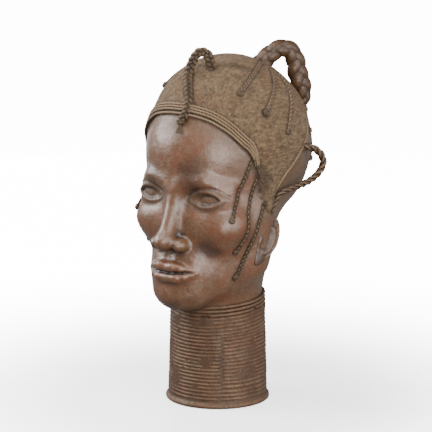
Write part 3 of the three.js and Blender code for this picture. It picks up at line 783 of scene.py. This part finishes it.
def paintByAxis(piece, paths, reach):  # painted shade and dirt in the grooves, wear on the crests
    axis, ups, sizes = joined(paths)
    points = pointsOf(piece)
    nearest, _ = nearestOn(axis, points)
    offset = points - axis[nearest]
    away = np.linalg.norm(offset, axis=1) / (reach * sizes[nearest])
    height = (offset * ups[nearest]).sum(-1) / (reach * sizes[nearest])
    grooves = cordDirtShadeAndWear["grooves"] * (1 - ramp(away, 0.45, 0.8))
    paint(piece, grooves + cordDirtShadeAndWear["underside"] * ramp(-height, 0, 0.8),
          cordDirtShadeAndWear["crests"] * ramp(away, 0.82, 1.02) * ramp(height, -0.2, 0.7))


plaits = plaitTree()
knobs = knobTree()
everyCord = []  # axis points and radii of all cords, for the dirt and painted shadow beside them
# How strands run: a flat plait weaves, a twist turns, a plain cord is one round strand. Widths,
# heights and radii of strands are shares of the cord's own size, turn is in millimetres
flatPlait = {"strands": 3, "waves": 2, "start": 0}
twist = {"waves": 1, "start": math.pi / 2}
plainCord = {
    "strands": 1, "halfWidth": 0, "halfHeight": 0, "turn": 10, "waves": 1, "start": 0, "radius": 1,
}


def makeCord(name, paths, look, finish):
    piece = grow(pathMesh(name, paths), plaits, {
        "Strands": look["strands"], "Half width": look["halfWidth"] * mm,
        "Half height": look["halfHeight"] * mm, "Turn length": look["turn"] * mm,
        "Height waves": look["waves"], "Height start": look["start"],
        "Strand radius": look["radius"] * mm, "Strand sides": look["sides"], "Finish": finish})
    reach = max(look["halfWidth"], look["halfHeight"]) + look["radius"]
    paintByAxis(piece, paths, reach)
    for points, _, sizes in paths:
        everyCord.append((points, sizes * reach))
    takeItsPlace(piece)


# The large loop at the back of the crown: a thick three-strand plait
backLoop = {
    **flatPlait, "halfWidth": 0.3, "halfHeight": 0.13, "turn": 40, "radius": 0.71, "sides": 24,
    "route": [(14, 46, 331), (20, 54, 341.5), (27, 62, 349.5), (33, 69, 350.5), (37, 73.5, 346),
              (39.5, 76.8, 336.5), (41, 78.5, 324), (43.8, 81.5, 312), (46, 83, 300),
              (45, 79, 292)],
    "size": [(0, 10.5), (0.3, 9.2), (0.55, 10.2), (0.75, 10.6), (0.88, 7.5), (1, 4)],
    "up": (0.75, -0.35, 0.55), "step": 0.8,
}
# The plait that rises from the crown and falls over the brow band
frontPlait = {
    **flatPlait, "halfWidth": 0.5, "halfHeight": 0.26, "turn": 15, "radius": 0.48, "sides": 12,
    "route": [(13, -22, 334), (11, -25.8, 344), (9.2, -27.4, 351.5), (3.6, -31.7, 354.6),
              (-0.4, -35.2, 350), (-3.4, -38.4, 341.5), (-3.4, -42.5, 331), (4, -51.5, 321),
              (9.6, -58.5, 310), (10.5, -65.5, 297), (6.5, -67.6, 290.5)],
    "ends": (5.3, 4), "up": (0.6, -0.8, 0.2), "step": 0.5, "knob": 3.6,
}
# The twisted loop behind each ear
sideLoop = {
    **twist, "strands": 3, "halfWidth": 0.46, "halfHeight": 0.46, "turn": 22, "radius": 0.52,
    "sides": 12,
    "route": [(69, 44, 257), (73.5, 50, 257), (79, 58.5, 253.3), (83, 61.5, 247.7),
              (84, 62.7, 240.5), (83, 59.9, 233.7), (81, 52.7, 227.4), (79, 42.3, 223.2),
              (76.5, 31, 220.7), (73.4, 19.5, 218.5), (70.5, 8.7, 214.8), (68.6, 2.5, 206),
              (67.4, -1, 199)],
    "ends": (4.3, 3), "up": (1, 0, 0), "step": 0.5,
}


def makeFreeCord(name, cord, finish, side):
    up, = mirrored([cord["up"]], side)
    path, ups = freePath(mirrored(cord["route"], side), cord["step"], up)
    if "size" in cord:
        sizes = through(cord["size"], np.linspace(0, 1, len(path)))
    else:
        sizes = np.linspace(*cord["ends"], len(path))
    makeCord(name, [(path, ups, sizes)], cord, finish)


# Small plaits that lie on the cap and down the temples: route, size, and the knob at the end
laidPlaits = {
    **flatPlait, "halfWidth": 0.46, "halfHeight": 0.3, "turn": 14, "radius": 0.5, "sides": 8,
    "cap": [
        ([(27, 33, 337), (43.7, -3, 329), (46.5, -24.5, 316.5)], 1.9, 3.6),
        ([(38, 36, 332), (57.5, 16, 317), (64.6, -6.7, 297.5)], 2, 4.4),
        ([(40, 46, 328), (60, 39, 308), (71, 24, 288), (73.6, 17, 276.5)], 2, 3.5),
        ([(50, 79, 294), (59, 77, 280), (61.7, 76, 270)], 1.8, 3.4),
        ([(40, 92, 285), (50, 90, 262), (55, 85, 239)], 1.8, 3.4)],
    "temple": [
        ([(66.5, -29, 254), (61, -39, 225), (58.6, -53, 196.5)], 2.1, 3.4),
        ([(67.5, -21, 236), (61.5, -32, 200), (54, -41, 163.5)], 2.1, 3.4),
        ([(66.5, -12.5, 209), (60, -25, 173), (49, -35.5, 137)], 2.1, 3.4)],
    "sunk": 0.2, "step": 0.4, "knobSides": 24,
}


def makeLaidPlaits():
    ends = []
    for place, finish in (("cap", bandBronze), ("temple", plaitBronze)):
        paths = []
        for route, size, knob in laidPlaits[place]:
            for side in (1, -1):
                path, ups = laidPath(mirrored(route, side), size * laidPlaits["sunk"],
                                     laidPlaits["step"])
                paths.append((path, ups, np.full(len(path), size)))
                ends.append((path[-1:], ups[-1:], [knob]))
        makeCord(place + "Plaits", paths, laidPlaits, finish)
    foot = np.array(frontPlait["route"][-1:], float)
    ends.append((foot, outwardOf(bareHead, foot), [frontPlait["knob"]]))
    makeKnobs(*joined(ends))


def makeKnobs(points, ups, sizes):
    source = pathMesh("plaitKnobs", [(points, ups, sizes)])
    piece = grow(source, knobs, {"Sides": laidPlaits["knobSides"], "Finish": bandBronze})
    surface = pointsOf(piece)
    nearest, _ = nearestOn(points, surface)
    height = ((surface - points[nearest]) * ups[nearest]).sum(-1) / sizes[nearest]
    # Painted shade and dirt at the knob's foot and beside its ring, wear on the ring's top
    foot = cordDirtShadeAndWear["knobFoot"] * (1 - ramp(height, 0, 0.5))
    besideRing = cordDirtShadeAndWear["knobRing"] * bell(height - tasselKnob["squash"], 0.06)
    paint(piece, foot + besideRing, ramp(height, 0.7, 0.78))
    everyCord.append((points, sizes))
    takeItsPlace(piece)


# The band of parallel cords along the front edge of the cap
browBand = {
    **twist, "strands": 2, "halfWidth": 0.12, "halfHeight": 0.12, "turn": 8, "radius": 0.9,
    "sides": 10, "size": 1.25, "lift": 0.55, "step": 0.8, "rounds": 2, "thin": 0.55, "taper": 0.06,
    "halfAngle": 62, "width": 10.8, "cords": 4, "closeAngle": 12, "closeWidth": 0.35,
}


def makeBrowBand():
    around = np.linspace(-browBand["halfAngle"], browBand["halfAngle"], 60)
    edge = onHead(around, capEdgeHeight(around) + 1)
    along = np.gradient(edge, axis=0)
    across = np.cross(outwardOf(bareHead, edge), along)
    across /= np.linalg.norm(across, axis=1)[:, None]
    across *= np.sign(across[:, 2:3])
    nearEnd = (browBand["halfAngle"] - np.abs(around)) / browBand["closeAngle"]
    squeeze = np.minimum(1, nearEnd + browBand["closeWidth"])
    paths = []
    for k in range(browBand["cords"]):
        offset = browBand["width"] * (k + 0.5) / browBand["cords"]
        line = settle(headField, edge + across * (offset * squeeze)[:, None], 3)
        paths.append(taperedPath(line, browBand, browBand["size"]))
    makeCord("browBand", paths, browBand, bandBronze)


# A smooth roll along the rest of the cap's edge, from ear to ear round the nape
capRim = {
    **plainCord, "sides": 14, "size": 1.7, "lift": 0.2, "step": 1, "rounds": 2, "thin": 0.35,
    "taper": 0.08, "from": 81,
}


def makeCapRim():
    around = np.linspace(capRim["from"], 360 - capRim["from"], 90)
    line = onHead(around, capEdgeHeight(around) + 1)
    makeCord("capRim", [taperedPath(line, capRim, capRim["size"])], capRim, bandBronze)


# Fine threads: the band's cords run out in a fan above the ear, the front plait ends in a tuft on
# the forehead, and a few wavy strokes mark the crown
threads = {
    **plainCord, "sides": 6, "size": 0.38, "lift": 0, "step": 0.8, "rounds": 3, "thin": 0.4,
    "taper": 0.15,
    "fan": 5, "fanStart": 59, "fanTurn": 9, "fanSpread": 3, "fanBend": 1.3, "fanTop": 2,
    "fanGap": 2.3, "fanLow": 214, "fanStagger": 4,
    "tuft": 5, "tuftFoot": (4.8, 289), "tuftLength": 10, "tuftGap": 1.5, "tuftSize": 0.8,
    "strokes": 5, "strokeStart": (12, -16), "strokeGap": (4, 4.5), "strokeRun": (14, 4),
    "strokeWave": 1.4, "strokeHeight": 339, "strokeSize": 0.7,
}


def makeThreads():
    v = threads
    t = np.linspace(0, 1, 12)
    lines = []
    for side in (1, -1):
        for k in range(v["fan"]):
            top = capEdgeHeight(np.array([v["fanStart"]])) + v["fanTop"] + v["fanGap"] * k
            around = v["fanStart"] + (v["fanTurn"] + v["fanSpread"] * k) * t ** v["fanBend"]
            low = v["fanLow"] + v["fanStagger"] * k
            lines.append((onHead(side * around, top + (low - top) * t), 1))
    turn, height = v["tuftFoot"]
    for k in range(v["tuft"]):
        bend = (k - (v["tuft"] - 1) / 2) * v["tuftGap"]
        line = onHead(turn + bend * t - 0.4 * np.sin(4 * t), height - v["tuftLength"] * t)
        lines.append((line, v["tuftSize"]))
    for k in range(v["strokes"]):
        x, y = (start + gap * k + run * t
                for start, gap, run in zip(v["strokeStart"], v["strokeGap"], v["strokeRun"]))
        wave = v["strokeWave"] * np.sin(3 * np.pi * t + 2 * k)
        lines.append((np.stack([x, y + wave, v["strokeHeight"] + 0 * t], -1), v["strokeSize"]))
    paths = [taperedPath(line, v, share * v["size"]) for line, share in lines]
    makeCord("fineThreads", paths, v, plaitBronze)


makeFreeCord("backLoop", backLoop, loopBronze, 1)
makeFreeCord("frontPlait", frontPlait, plaitBronze, 1)
makeFreeCord("leftLoop", sideLoop, loopBronze, 1)
makeFreeCord("rightLoop", sideLoop, loopBronze, -1)
makeLaidPlaits()
makeBrowBand()
makeCapRim()
makeThreads()
print("cords made")

# The head
headGrid = {"cols": 360, "rows": 256, "relax": 9}
headCore = {
    "x": 0, "y": 6, "top": 255, "low": 125, "arc": 120, "start": 190, "relax": headGrid["relax"],
}
# Waves left by the wax model: height, size, seed, and how much higher they are on the cap
waxWaves = [(0.3, 14, 3, 0), (0.16, 6, 4, 0), (0.07, 3.2, 5, 0.16)]
# Where the patina is darker: centre and radius
patinaPatches = [((21, -64, 240), 19), ((34, -58, 168), 15), ((56, -38, 180), 13),
                 ((0, -70, 112), 14), ((-24, -62, 236), 16), ((-40, -52, 166), 15)]
shelter = [(1.5, 0.35), (4, 0.4), (9, 0.35)]  # how far out to look for a wall, and its weight


def fieldLight(field, points, outward):  # how shut in and how sharply bent each point is
    shut = np.zeros(len(points))
    for reach, weight in shelter:
        p = points + outward * reach
        shut += weight * np.clip(1 - field(*p.T) / reach, 0, 1)
    h = 1.4
    bend = -6 * field(*points.T)
    for axis in np.eye(3) * h:
        bend += field(*(points + axis).T) + field(*(points - axis).T)
    return shut, bend / (h * h)


# Painted shadow and dirt darken the head beside the cords
def besideCords(points):  # nearness to any cord, from 0 to 1, at most two millimetres away
    axis = np.vstack([p for p, _ in everyCord])
    radii = np.concatenate([r for _, r in everyCord])
    nearest, gap = nearestOn(axis, points)
    return 1 - ramp(gap - radii[nearest], -0.4, 2)


def evened(values, rows, cols):  # averages a value with its neighbours on the grid, twice
    for _ in range(2):
        grid = values[1:-1].reshape(rows, cols)
        tall = np.pad(grid, ((1, 1), (0, 0)), "edge")
        mean = (tall[:-2] + tall[2:] + np.roll(grid, 1, 1) + np.roll(grid, -1, 1)) / 4
        values = np.concatenate([values[:1], (grid * 0.5 + mean * 0.5).ravel(), values[-1:]])
    return values


# How strong each kind of dirt and painted shade, dullness and wear is, from 0 to 1 or past it
# to spread it
headDirtShadeAndWear = {
    "hollows": 1.2, "besideCords": 0.95, "creases": 0.4, "lidEdge": 0.75, "lidFold": 0.35,
    "most": 0.92, "ridges": 0.34, "underJaw": 0.6, "underBand": 0.75, "roundEyes": 0.7,
}
earDirtShadeAndWear = {"stain": 0.8, "dull": 0.55, "hollows": 0.9, "root": 0.6, "most": 0.95, "ridges": 0.6}


def patchMask(points):
    mask = np.zeros(len(points))
    for centre, radius in patinaPatches:
        away = np.linalg.norm(points - np.array(centre), axis=1) / radius
        mask = np.maximum(mask, 1 - ramp(away + 0.25 * waxNoise(points, 7, 21), 0.35, 1.15))
    return mask


def fromLids(points):  # distance from the opening between the lids, large behind the face
    opening = outsideAlmond(np.abs(points[:, 0]), points[:, 2])
    return np.where(points[:, 1] < eye["front"], opening, 100)


def unrubbedMask(points):
    behind = ramp(points[:, 1] + 8 * waxNoise(points, 18, 22), -22, 14)
    underJaw = 1 - ramp(points[:, 2], 100, 122)
    underBand = bell(aboveCapEdge(*points.T) + 5 + 2 * waxNoise(points, 9, 23), 6)
    roundEyes = 1 - ramp(fromLids(points) + waxNoise(points, 5, 24), 3, 9)
    return np.maximum.reduce([
        behind, headDirtShadeAndWear["underJaw"] * underJaw, headDirtShadeAndWear["underBand"] * underBand,
        headDirtShadeAndWear["roundEyes"] * roundEyes])


# Painted shade and dirt: darker where the head is shut in, beside the cords, in creases and along
# the lids
def shadeAndDirtMask(points, shut, bend, beside):
    hollow = headDirtShadeAndWear["hollows"] * ramp(shut, 0.28, 0.8) + headDirtShadeAndWear["besideCords"] * beside
    hollow = np.clip(hollow + headDirtShadeAndWear["creases"] * ramp(-bend, 0.1, 0.5), 0, headDirtShadeAndWear["most"])
    opening = fromLids(points)
    lidEdge = headDirtShadeAndWear["lidEdge"] * bell(opening - 0.2, 0.8)
    lidFold = headDirtShadeAndWear["lidFold"] * bell(opening - 5.2, 0.9)
    return np.clip(hollow + lidEdge + lidFold, 0, headDirtShadeAndWear["most"])


def makeHead():
    toFace = lambda u: 1 + 3 * (bell(u, 0.12) + bell(u - 1, 0.12))
    toFeatures = lambda v: 1 + 2 * bell(v - 0.55, 0.14)
    around = spread(headGrid["cols"], toFace)
    down = spread(headGrid["rows"], toFeatures)[1:]
    points, faces = wrapField(headField, headCore, around, down)
    outward = outwardOf(headField, points)
    shut, bend = fieldLight(headField, points, outward)
    onCap = ramp(aboveCapEdge(*points.T), -0.6, 1.4)
    beside = besideCords(points)
    waves = [(height + more * onCap) * waxNoise(points, size, seed)
             for height, size, seed, more in waxWaves]
    points = points + outward * sum(waves)[:, None]
    masks = {"onCap": onCap, "hollow": shadeAndDirtMask(points, shut, bend, beside),
             "worn": headDirtShadeAndWear["ridges"] * ramp(bend, 0.14, 0.5), "stain": patchMask(points),
             "dull": unrubbedMask(points)}
    masks = {name: evened(values, len(down), len(around)) for name, values in masks.items()}
    takeItsPlace(asObject("capAndFace", points, faces, skinBronze, masks))


def makeEars():
    x, y, z = ear["centre"]
    core = {"x": x, "y": y, "top": z, "low": z, "arc": 40, "start": 45, "relax": 6}
    around, down = (np.arange(count) / count for count in (ear["cols"], ear["rows"]))
    points, faces = wrapField(earField, core, around, down[1:])
    shut, bend = fieldLight(earField, points, outwardOf(earField, points))
    # Painted shade and dirt in the ear's hollows and where it meets the head
    sunk = 1 - ramp(headField(*points.T), -1, 4)
    hollow = earDirtShadeAndWear["hollows"] * ramp(shut, 0.3, 0.8) + earDirtShadeAndWear["root"] * sunk
    masks = {
        "onCap": 0, "stain": earDirtShadeAndWear["stain"], "dull": earDirtShadeAndWear["dull"],
        "hollow": np.clip(hollow, 0, earDirtShadeAndWear["most"]),
        "worn": earDirtShadeAndWear["ridges"] * ramp(bend, 0.15, 0.5)}
    takeItsPlace(asObject("leftEar", points, faces, skinBronze, masks))
    flipped = [face[::-1] for face in faces]
    takeItsPlace(asObject("rightEar", points * (-1, 1, 1), flipped, skinBronze, masks))


makeHead()
makeEars()
print("head and ears made")

# The neck: a core with a flared rim, and rings laid round it that rise to the nape
neck = {
    "rimRadius": 52.5, "rimHeight": 4.5, "bottomRadius": 49.3, "topRadius": 46.9, "firstRing": 8,
    "rings": 26, "pitch": 3.85, "thickness": 1.75, "sunk": 0.6, "fill": 0.55, "rise": 0.09,
    "top": 96.5, "sides": 256, "wobble": 1.3, "wobbleSize": 22, "seed": 5, "seam": 43,
    "seamStep": 1.7,
    "pits": [  # angle, height, radius
        (-15, 74.6, 1.7), (-1.3, 47.7, 1.5), (-6, 38, 1.7), (-23.7, 60, 1.4), (20, 92, 2.4),
        (26, 93, 1.8), (90, 98, 1.8), (140, 55, 1.6), (-120, 70, 1.7)],
}


def neckRingTree():
    tree, given = newTree("neckRings", {
        "Int": ("Rings", "Sides"), "Material": ("Finish",),
        "Float": ("First height", "Pitch", "Bottom radius", "Top radius", "Top height",
                  "Thickness", "Rise", "Wobble", "Wobble scale", "Seed")})
    start = addNode(tree, "ShaderNodeCombineXYZ", {"Z": given["First height"]})
    step = addNode(tree, "ShaderNodeCombineXYZ", {"Z": given["Pitch"]})
    stack = addNode(tree, "GeometryNodeMeshLine", {
        "Count": given["Rings"], "Start Location": start, "Offset": step})
    spots = addNode(tree, "GeometryNodeMeshToPoints", {"Mesh": stack})
    position = addNode(tree, "GeometryNodeInputPosition", {})
    parts = addNode(tree, "ShaderNodeSeparateXYZ", {0: position}).outputs
    radius = addNode(tree, "ShaderNodeMapRange", {
        "Value": parts["Z"], "From Min": 0.0, "From Max": given["Top height"],
        "To Min": given["Bottom radius"], "To Max": given["Top radius"]})
    size = addNode(tree, "ShaderNodeCombineXYZ", {"X": radius, "Y": radius, "Z": 1.0})
    circle = addNode(tree, "GeometryNodeCurvePrimitiveCircle", {
        "Resolution": given["Sides"], "Radius": 1.0})
    placed = addNode(tree, "GeometryNodeInstanceOnPoints", {
        "Points": spots, "Instance": circle, "Scale": size})
    real = addNode(tree, "GeometryNodeRealizeInstances", {"Geometry": placed})
    slope = addNode(tree, "ShaderNodeMapRange", {  # rings rise to the nape, higher ones more
        "Value": parts["Z"], "From Min": 4 * mm, "From Max": 90 * mm, "To Min": 0.0,
        "To Max": given["Rise"]}, interpolation_type="SMOOTHSTEP")
    shear = addNode(tree, "ShaderNodeMath", {0: parts["Y"], 1: slope}, operation="MULTIPLY")
    raised = addNode(tree, "ShaderNodeCombineXYZ", {"Z": shear})
    noise = addNode(tree, "ShaderNodeTexNoise", {
        "Vector": position, "W": given["Seed"], "Scale": given["Wobble scale"], "Detail": 3.0},
        noise_dimensions="4D")
    centred = addNode(tree, "ShaderNodeVectorMath", {
        0: noise.outputs["Color"], 1: (0.5, 0.5, 0.5)}, operation="SUBTRACT")
    wobble = addNode(tree, "ShaderNodeVectorMath", {0: centred, "Scale": given["Wobble"]},
                     operation="SCALE")
    shift = addNode(tree, "ShaderNodeVectorMath", {0: wobble, 1: raised}, operation="ADD")
    moved = addNode(tree, "GeometryNodeSetPosition", {"Geometry": real, "Offset": shift})
    section = addNode(tree, "GeometryNodeCurvePrimitiveCircle", {"Resolution": 12, "Radius": 1.0})
    tube = addNode(tree, "GeometryNodeCurveToMesh", {
        "Curve": moved, "Profile Curve": section, "Scale": given["Thickness"]})
    return closeTree(tree, tube, given["Finish"])


def neckRadius(z):
    return neck["bottomRadius"] + (neck["topRadius"] - neck["bottomRadius"]) * z / neck["top"]


def grooveRadius(z):  # bottom of the grooves between the rings
    return neckRadius(z) + neck["fill"]


# How deep the rings are worn, in millimetres, and how strong their dirt, painted shade and bare
# crests are
neckDirtShadeAndWear = {
    "dents": 0.65, "ripple": 0.2, "seamDip": 0.35, "seamDirt": 0.3, "pitDepth": 1.5,
    "grooves": 0.36, "streaks": 0.25, "crests": 0.4,
    "coreDirtAndShade": 0.34, "under": 0.8, "mostDirtAndShade": 0.9, "rimCrest": 0.15, "rimWave": 0.3,
}


def agedRings(points):  # worn and uneven rings, a seam where they don't meet, and casting pits
    around = np.degrees(np.arctan2(points[:, 0], -points[:, 1]))
    away = points[:, :2] / np.hypot(points[:, 0], points[:, 1])[:, None]
    past = ramp(around, neck["seam"] - 1.5, neck["seam"] + 1.5) * (1 - ramp(around, 95, 120))
    between = ramp(points[:, 2], 16, 24) * (1 - ramp(points[:, 2], 68, 78))
    points[:, 2] += neck["seamStep"] * past * between
    low = neckDirtShadeAndWear["dents"] * ramp(waxNoise(points, 13, 14), 0.1, 0.7)
    low += neckDirtShadeAndWear["ripple"] * waxNoise(points, 3.5, 16)
    low += neckDirtShadeAndWear["seamDip"] * bell(around - neck["seam"], 2.2) * between
    dark = neckDirtShadeAndWear["seamDirt"] * bell(around - neck["seam"], 1.6) * between
    for turn, height, radius in neck["pits"]:
        turn = math.radians(turn)
        reach = neckRadius(height) + 0.8
        centre = np.array([reach * math.sin(turn), -reach * math.cos(turn), height])
        near = 1 - ramp(np.linalg.norm(points - centre, axis=1) / radius, 0.7, 1.5)
        low += neckDirtShadeAndWear["pitDepth"] * near
        dark = np.maximum(dark, near)
    points[:, :2] -= away * low[:, None]
    return points, dark


def makeNeckRings():
    seedMesh = bpy.data.meshes.new("neckRings")
    seedMesh.from_pydata([(0, 0, 0)], [], [])
    sizes = {
        "First height": neck["firstRing"] + neck["pitch"] / 2, "Pitch": neck["pitch"],
        "Bottom radius": neck["bottomRadius"] - neck["sunk"], "Top height": neck["top"],
        "Top radius": neck["topRadius"] - neck["sunk"], "Thickness": neck["thickness"],
        "Wobble": neck["wobble"]}
    rings = grow(addObject("neckRings", seedMesh), neckRingTree(), {
        **{label: size * mm for label, size in sizes.items()}, "Rings": neck["rings"],
        "Rise": neck["rise"], "Wobble scale": perMetre(neck["wobbleSize"]),
        "Seed": float(neck["seed"]), "Sides": neck["sides"], "Finish": neckBronze})
    points = pointsOf(rings)
    proud = np.hypot(points[:, 0], points[:, 1]) - neckRadius(np.minimum(points[:, 2], neck["top"]))
    patchy = waxNoise(points, 9, 11)
    streaks = ramp(waxNoise(points * (1, 1, 0.2), 8, 15), 0.1, 0.6)
    points, dark = agedRings(points)
    rings.data.vertices.foreach_set("co", (points * mm).astype(np.float32).ravel())
    # Painted shade and dirt in the grooves between the rings, darker stain streaks, wear on the
    # crests
    grooves = neckDirtShadeAndWear["grooves"] * (1 - ramp(proud + 0.4 * patchy, 0.3, 0.9))
    paint(rings, grooves + neckDirtShadeAndWear["streaks"] * streaks + dark,
          neckDirtShadeAndWear["crests"] * ramp(proud + 0.5 * patchy, 0.7, 1.3))
    takeItsPlace(rings)


def makeNeckCore():
    rim, radius, top = neck["rimHeight"], neck["rimRadius"], neck["top"]
    profile = [(20, 0), (40, 0), (radius - 3, 0), (radius - 1, 0.3), (radius - 0.3, 1), (radius, 2),
               (radius, 3), (radius - 0.4, rim - 0.4), (radius - 1.2, rim + 0.5),
               (grooveRadius(6), rim + 1.6)]
    profile += [(grooveRadius(z), z) for z in np.arange(7, top + 0.1, 1.5)]
    profile += [(neckRadius(top) - 1, top + 1.2), (30, top + 1.4)]
    table = np.array(profile)
    turn = np.arange(neck["sides"]) / neck["sides"] * 2 * np.pi
    x = table[:, :1] * np.sin(turn)
    y = -table[:, :1] * np.cos(turn)
    z = table[:, 1:] + 0 * turn
    rows = np.stack([x, y, z], -1)[::-1].reshape(-1, 3)
    points = np.vstack([[0, 0, top + 1.4], rows, [0, 0, 0]])
    above = ramp(points[:, 2], 0, 3)
    away = points[:, :2] / np.maximum(np.hypot(points[:, 0], points[:, 1]), 1e-6)[:, None]
    points[:, :2] += away * (neckDirtShadeAndWear["rimWave"] * waxNoise(points, 12, 8) * above)[:, None]
    points[:, 2] += ramp(points[:, 2], 4, 90) * points[:, 1] * neck["rise"]
    onRim = 1 - ramp(points[:, 2], 4, 6)
    # Painted shade and dirt on the core between the rings and at its foot
    under = 1 - ramp(points[:, 2], 0.4, 1.6)
    patchy = waxNoise(points, 7, 12)
    dirtAndShade = neckDirtShadeAndWear["coreDirtAndShade"] * (1 - onRim) + neckDirtShadeAndWear["under"] * under
    masks = {"hollow": np.clip(dirtAndShade, 0, neckDirtShadeAndWear["mostDirtAndShade"]),
             "worn": neckDirtShadeAndWear["rimCrest"] * onRim * ramp(points[:, 2] + patchy, 2.2, 4)}
    faces = gridFaces(len(table), neck["sides"])
    takeItsPlace(asObject("neckCore", points, faces, neckBronze, masks))


makeNeckRings()
makeNeckCore()
print("neck made")

# A matt board that glows as painted light, more so away from the object, under a dim room with a
# bright backdrop
studio = {
    "floor": "#e6e7ea", "sky": "#ffffff", "reach": 6000, "near": 1.9, "far": 14, "nearEdge": 120,
    "farEdge": 600, "skyShown": 14.0, "skyLight": 0.2, "floorLight": 0.42,
}


def makeFloor():
    material = bpy.data.materials.new("paleStudioFloor")
    material.use_nodes = True
    tree = material.node_tree
    tree.nodes.clear()
    coords = addNode(tree, "ShaderNodeTexCoord", {}).outputs["Object"]
    away = addNode(tree, "ShaderNodeVectorMath", {0: coords}, operation="LENGTH").outputs["Value"]
    # Painted light: the board glows in place of being lit, less near the object
    glow = addNode(tree, "ShaderNodeMapRange", {
        "Value": away, "From Min": studio["nearEdge"] * mm,
        "From Max": studio["farEdge"] * mm, "To Min": studio["near"], "To Max": studio["far"]},
        interpolation_type="SMOOTHSTEP")
    shader = addNode(tree, "ShaderNodeBsdfPrincipled", {
        "Base Color": linear(studio["floor"]), "Roughness": 0.3, "Emission Color": (1, 1, 1, 1),
        "Emission Strength": glow})
    addNode(tree, "ShaderNodeOutputMaterial", {"Surface": shader})
    corners = np.array([(-1, -1, 0), (1, -1, 0), (1, 1, 0), (-1, 1, 0)]) * studio["reach"]
    floor = asObject("studioFloor", corners, [(0, 1, 2, 3)], material, {})
    floor.visible_diffuse = False  # its glow is background only and doesn't wash out the bronze
    floor.visible_glossy = False


def makeRoom():
    world = bpy.data.worlds.new("paleStudio")
    world.use_nodes = True
    tree = world.node_tree
    toward = addNode(tree, "ShaderNodeTexCoord", {}).outputs["Generated"]
    height = addNode(tree, "ShaderNodeSeparateXYZ", {0: toward}).outputs["Z"]
    glow = addNode(tree, "ShaderNodeMapRange", {
        "Value": height, "From Min": -0.5, "From Max": 0.05, "To Min": studio["floorLight"],
        "To Max": studio["skyLight"]}, interpolation_type="SMOOTHSTEP")
    seen = addNode(tree, "ShaderNodeLightPath", {}).outputs["Is Camera Ray"]
    power = addNode(tree, "ShaderNodeMapRange", {
        "Value": seen, "To Min": glow, "To Max": studio["skyShown"]})
    sky = tree.nodes["Background"]
    sky.inputs["Color"].default_value = linear(studio["sky"])
    tree.links.new(power.outputs["Result"], sky.inputs["Strength"])
    bpy.context.scene.world = world


softboxes = [  # name, angle round the head, angle above, distance and size in metres, power
    ("leftSoftbox", -62, 26, 1.5, 1.0, 42),
    ("rightSoftbox", 70, 20, 1.6, 1.5, 36),
    ("sideFill", 100, 6, 1.5, 1.0, 10),
    ("lowFill", 44, 2, 1.4, 0.6, 13),
    ("topSoftbox", 0, 66, 1.5, 1.2, 28),
    ("leftRim", -125, 10, 1.4, 0.9, 5),
    ("rightRim", 165, 10, 1.4, 0.9, 3),
]


def makeLights():
    middle = Vector((0, 0, 0.2))
    for name, around, above, distance, size, power in softboxes:
        data = bpy.data.lights.new(name, "AREA")
        data.shape = "SQUARE"
        data.size = size
        data.energy = power
        lamp = addObject(name, data)
        away = directionAt(around, above)
        lamp.location = middle + away * distance
        lamp.rotation_euler = away.to_track_quat("Z", "Y").to_euler()


makeFloor()
makeRoom()
makeLights()
print("studio made")
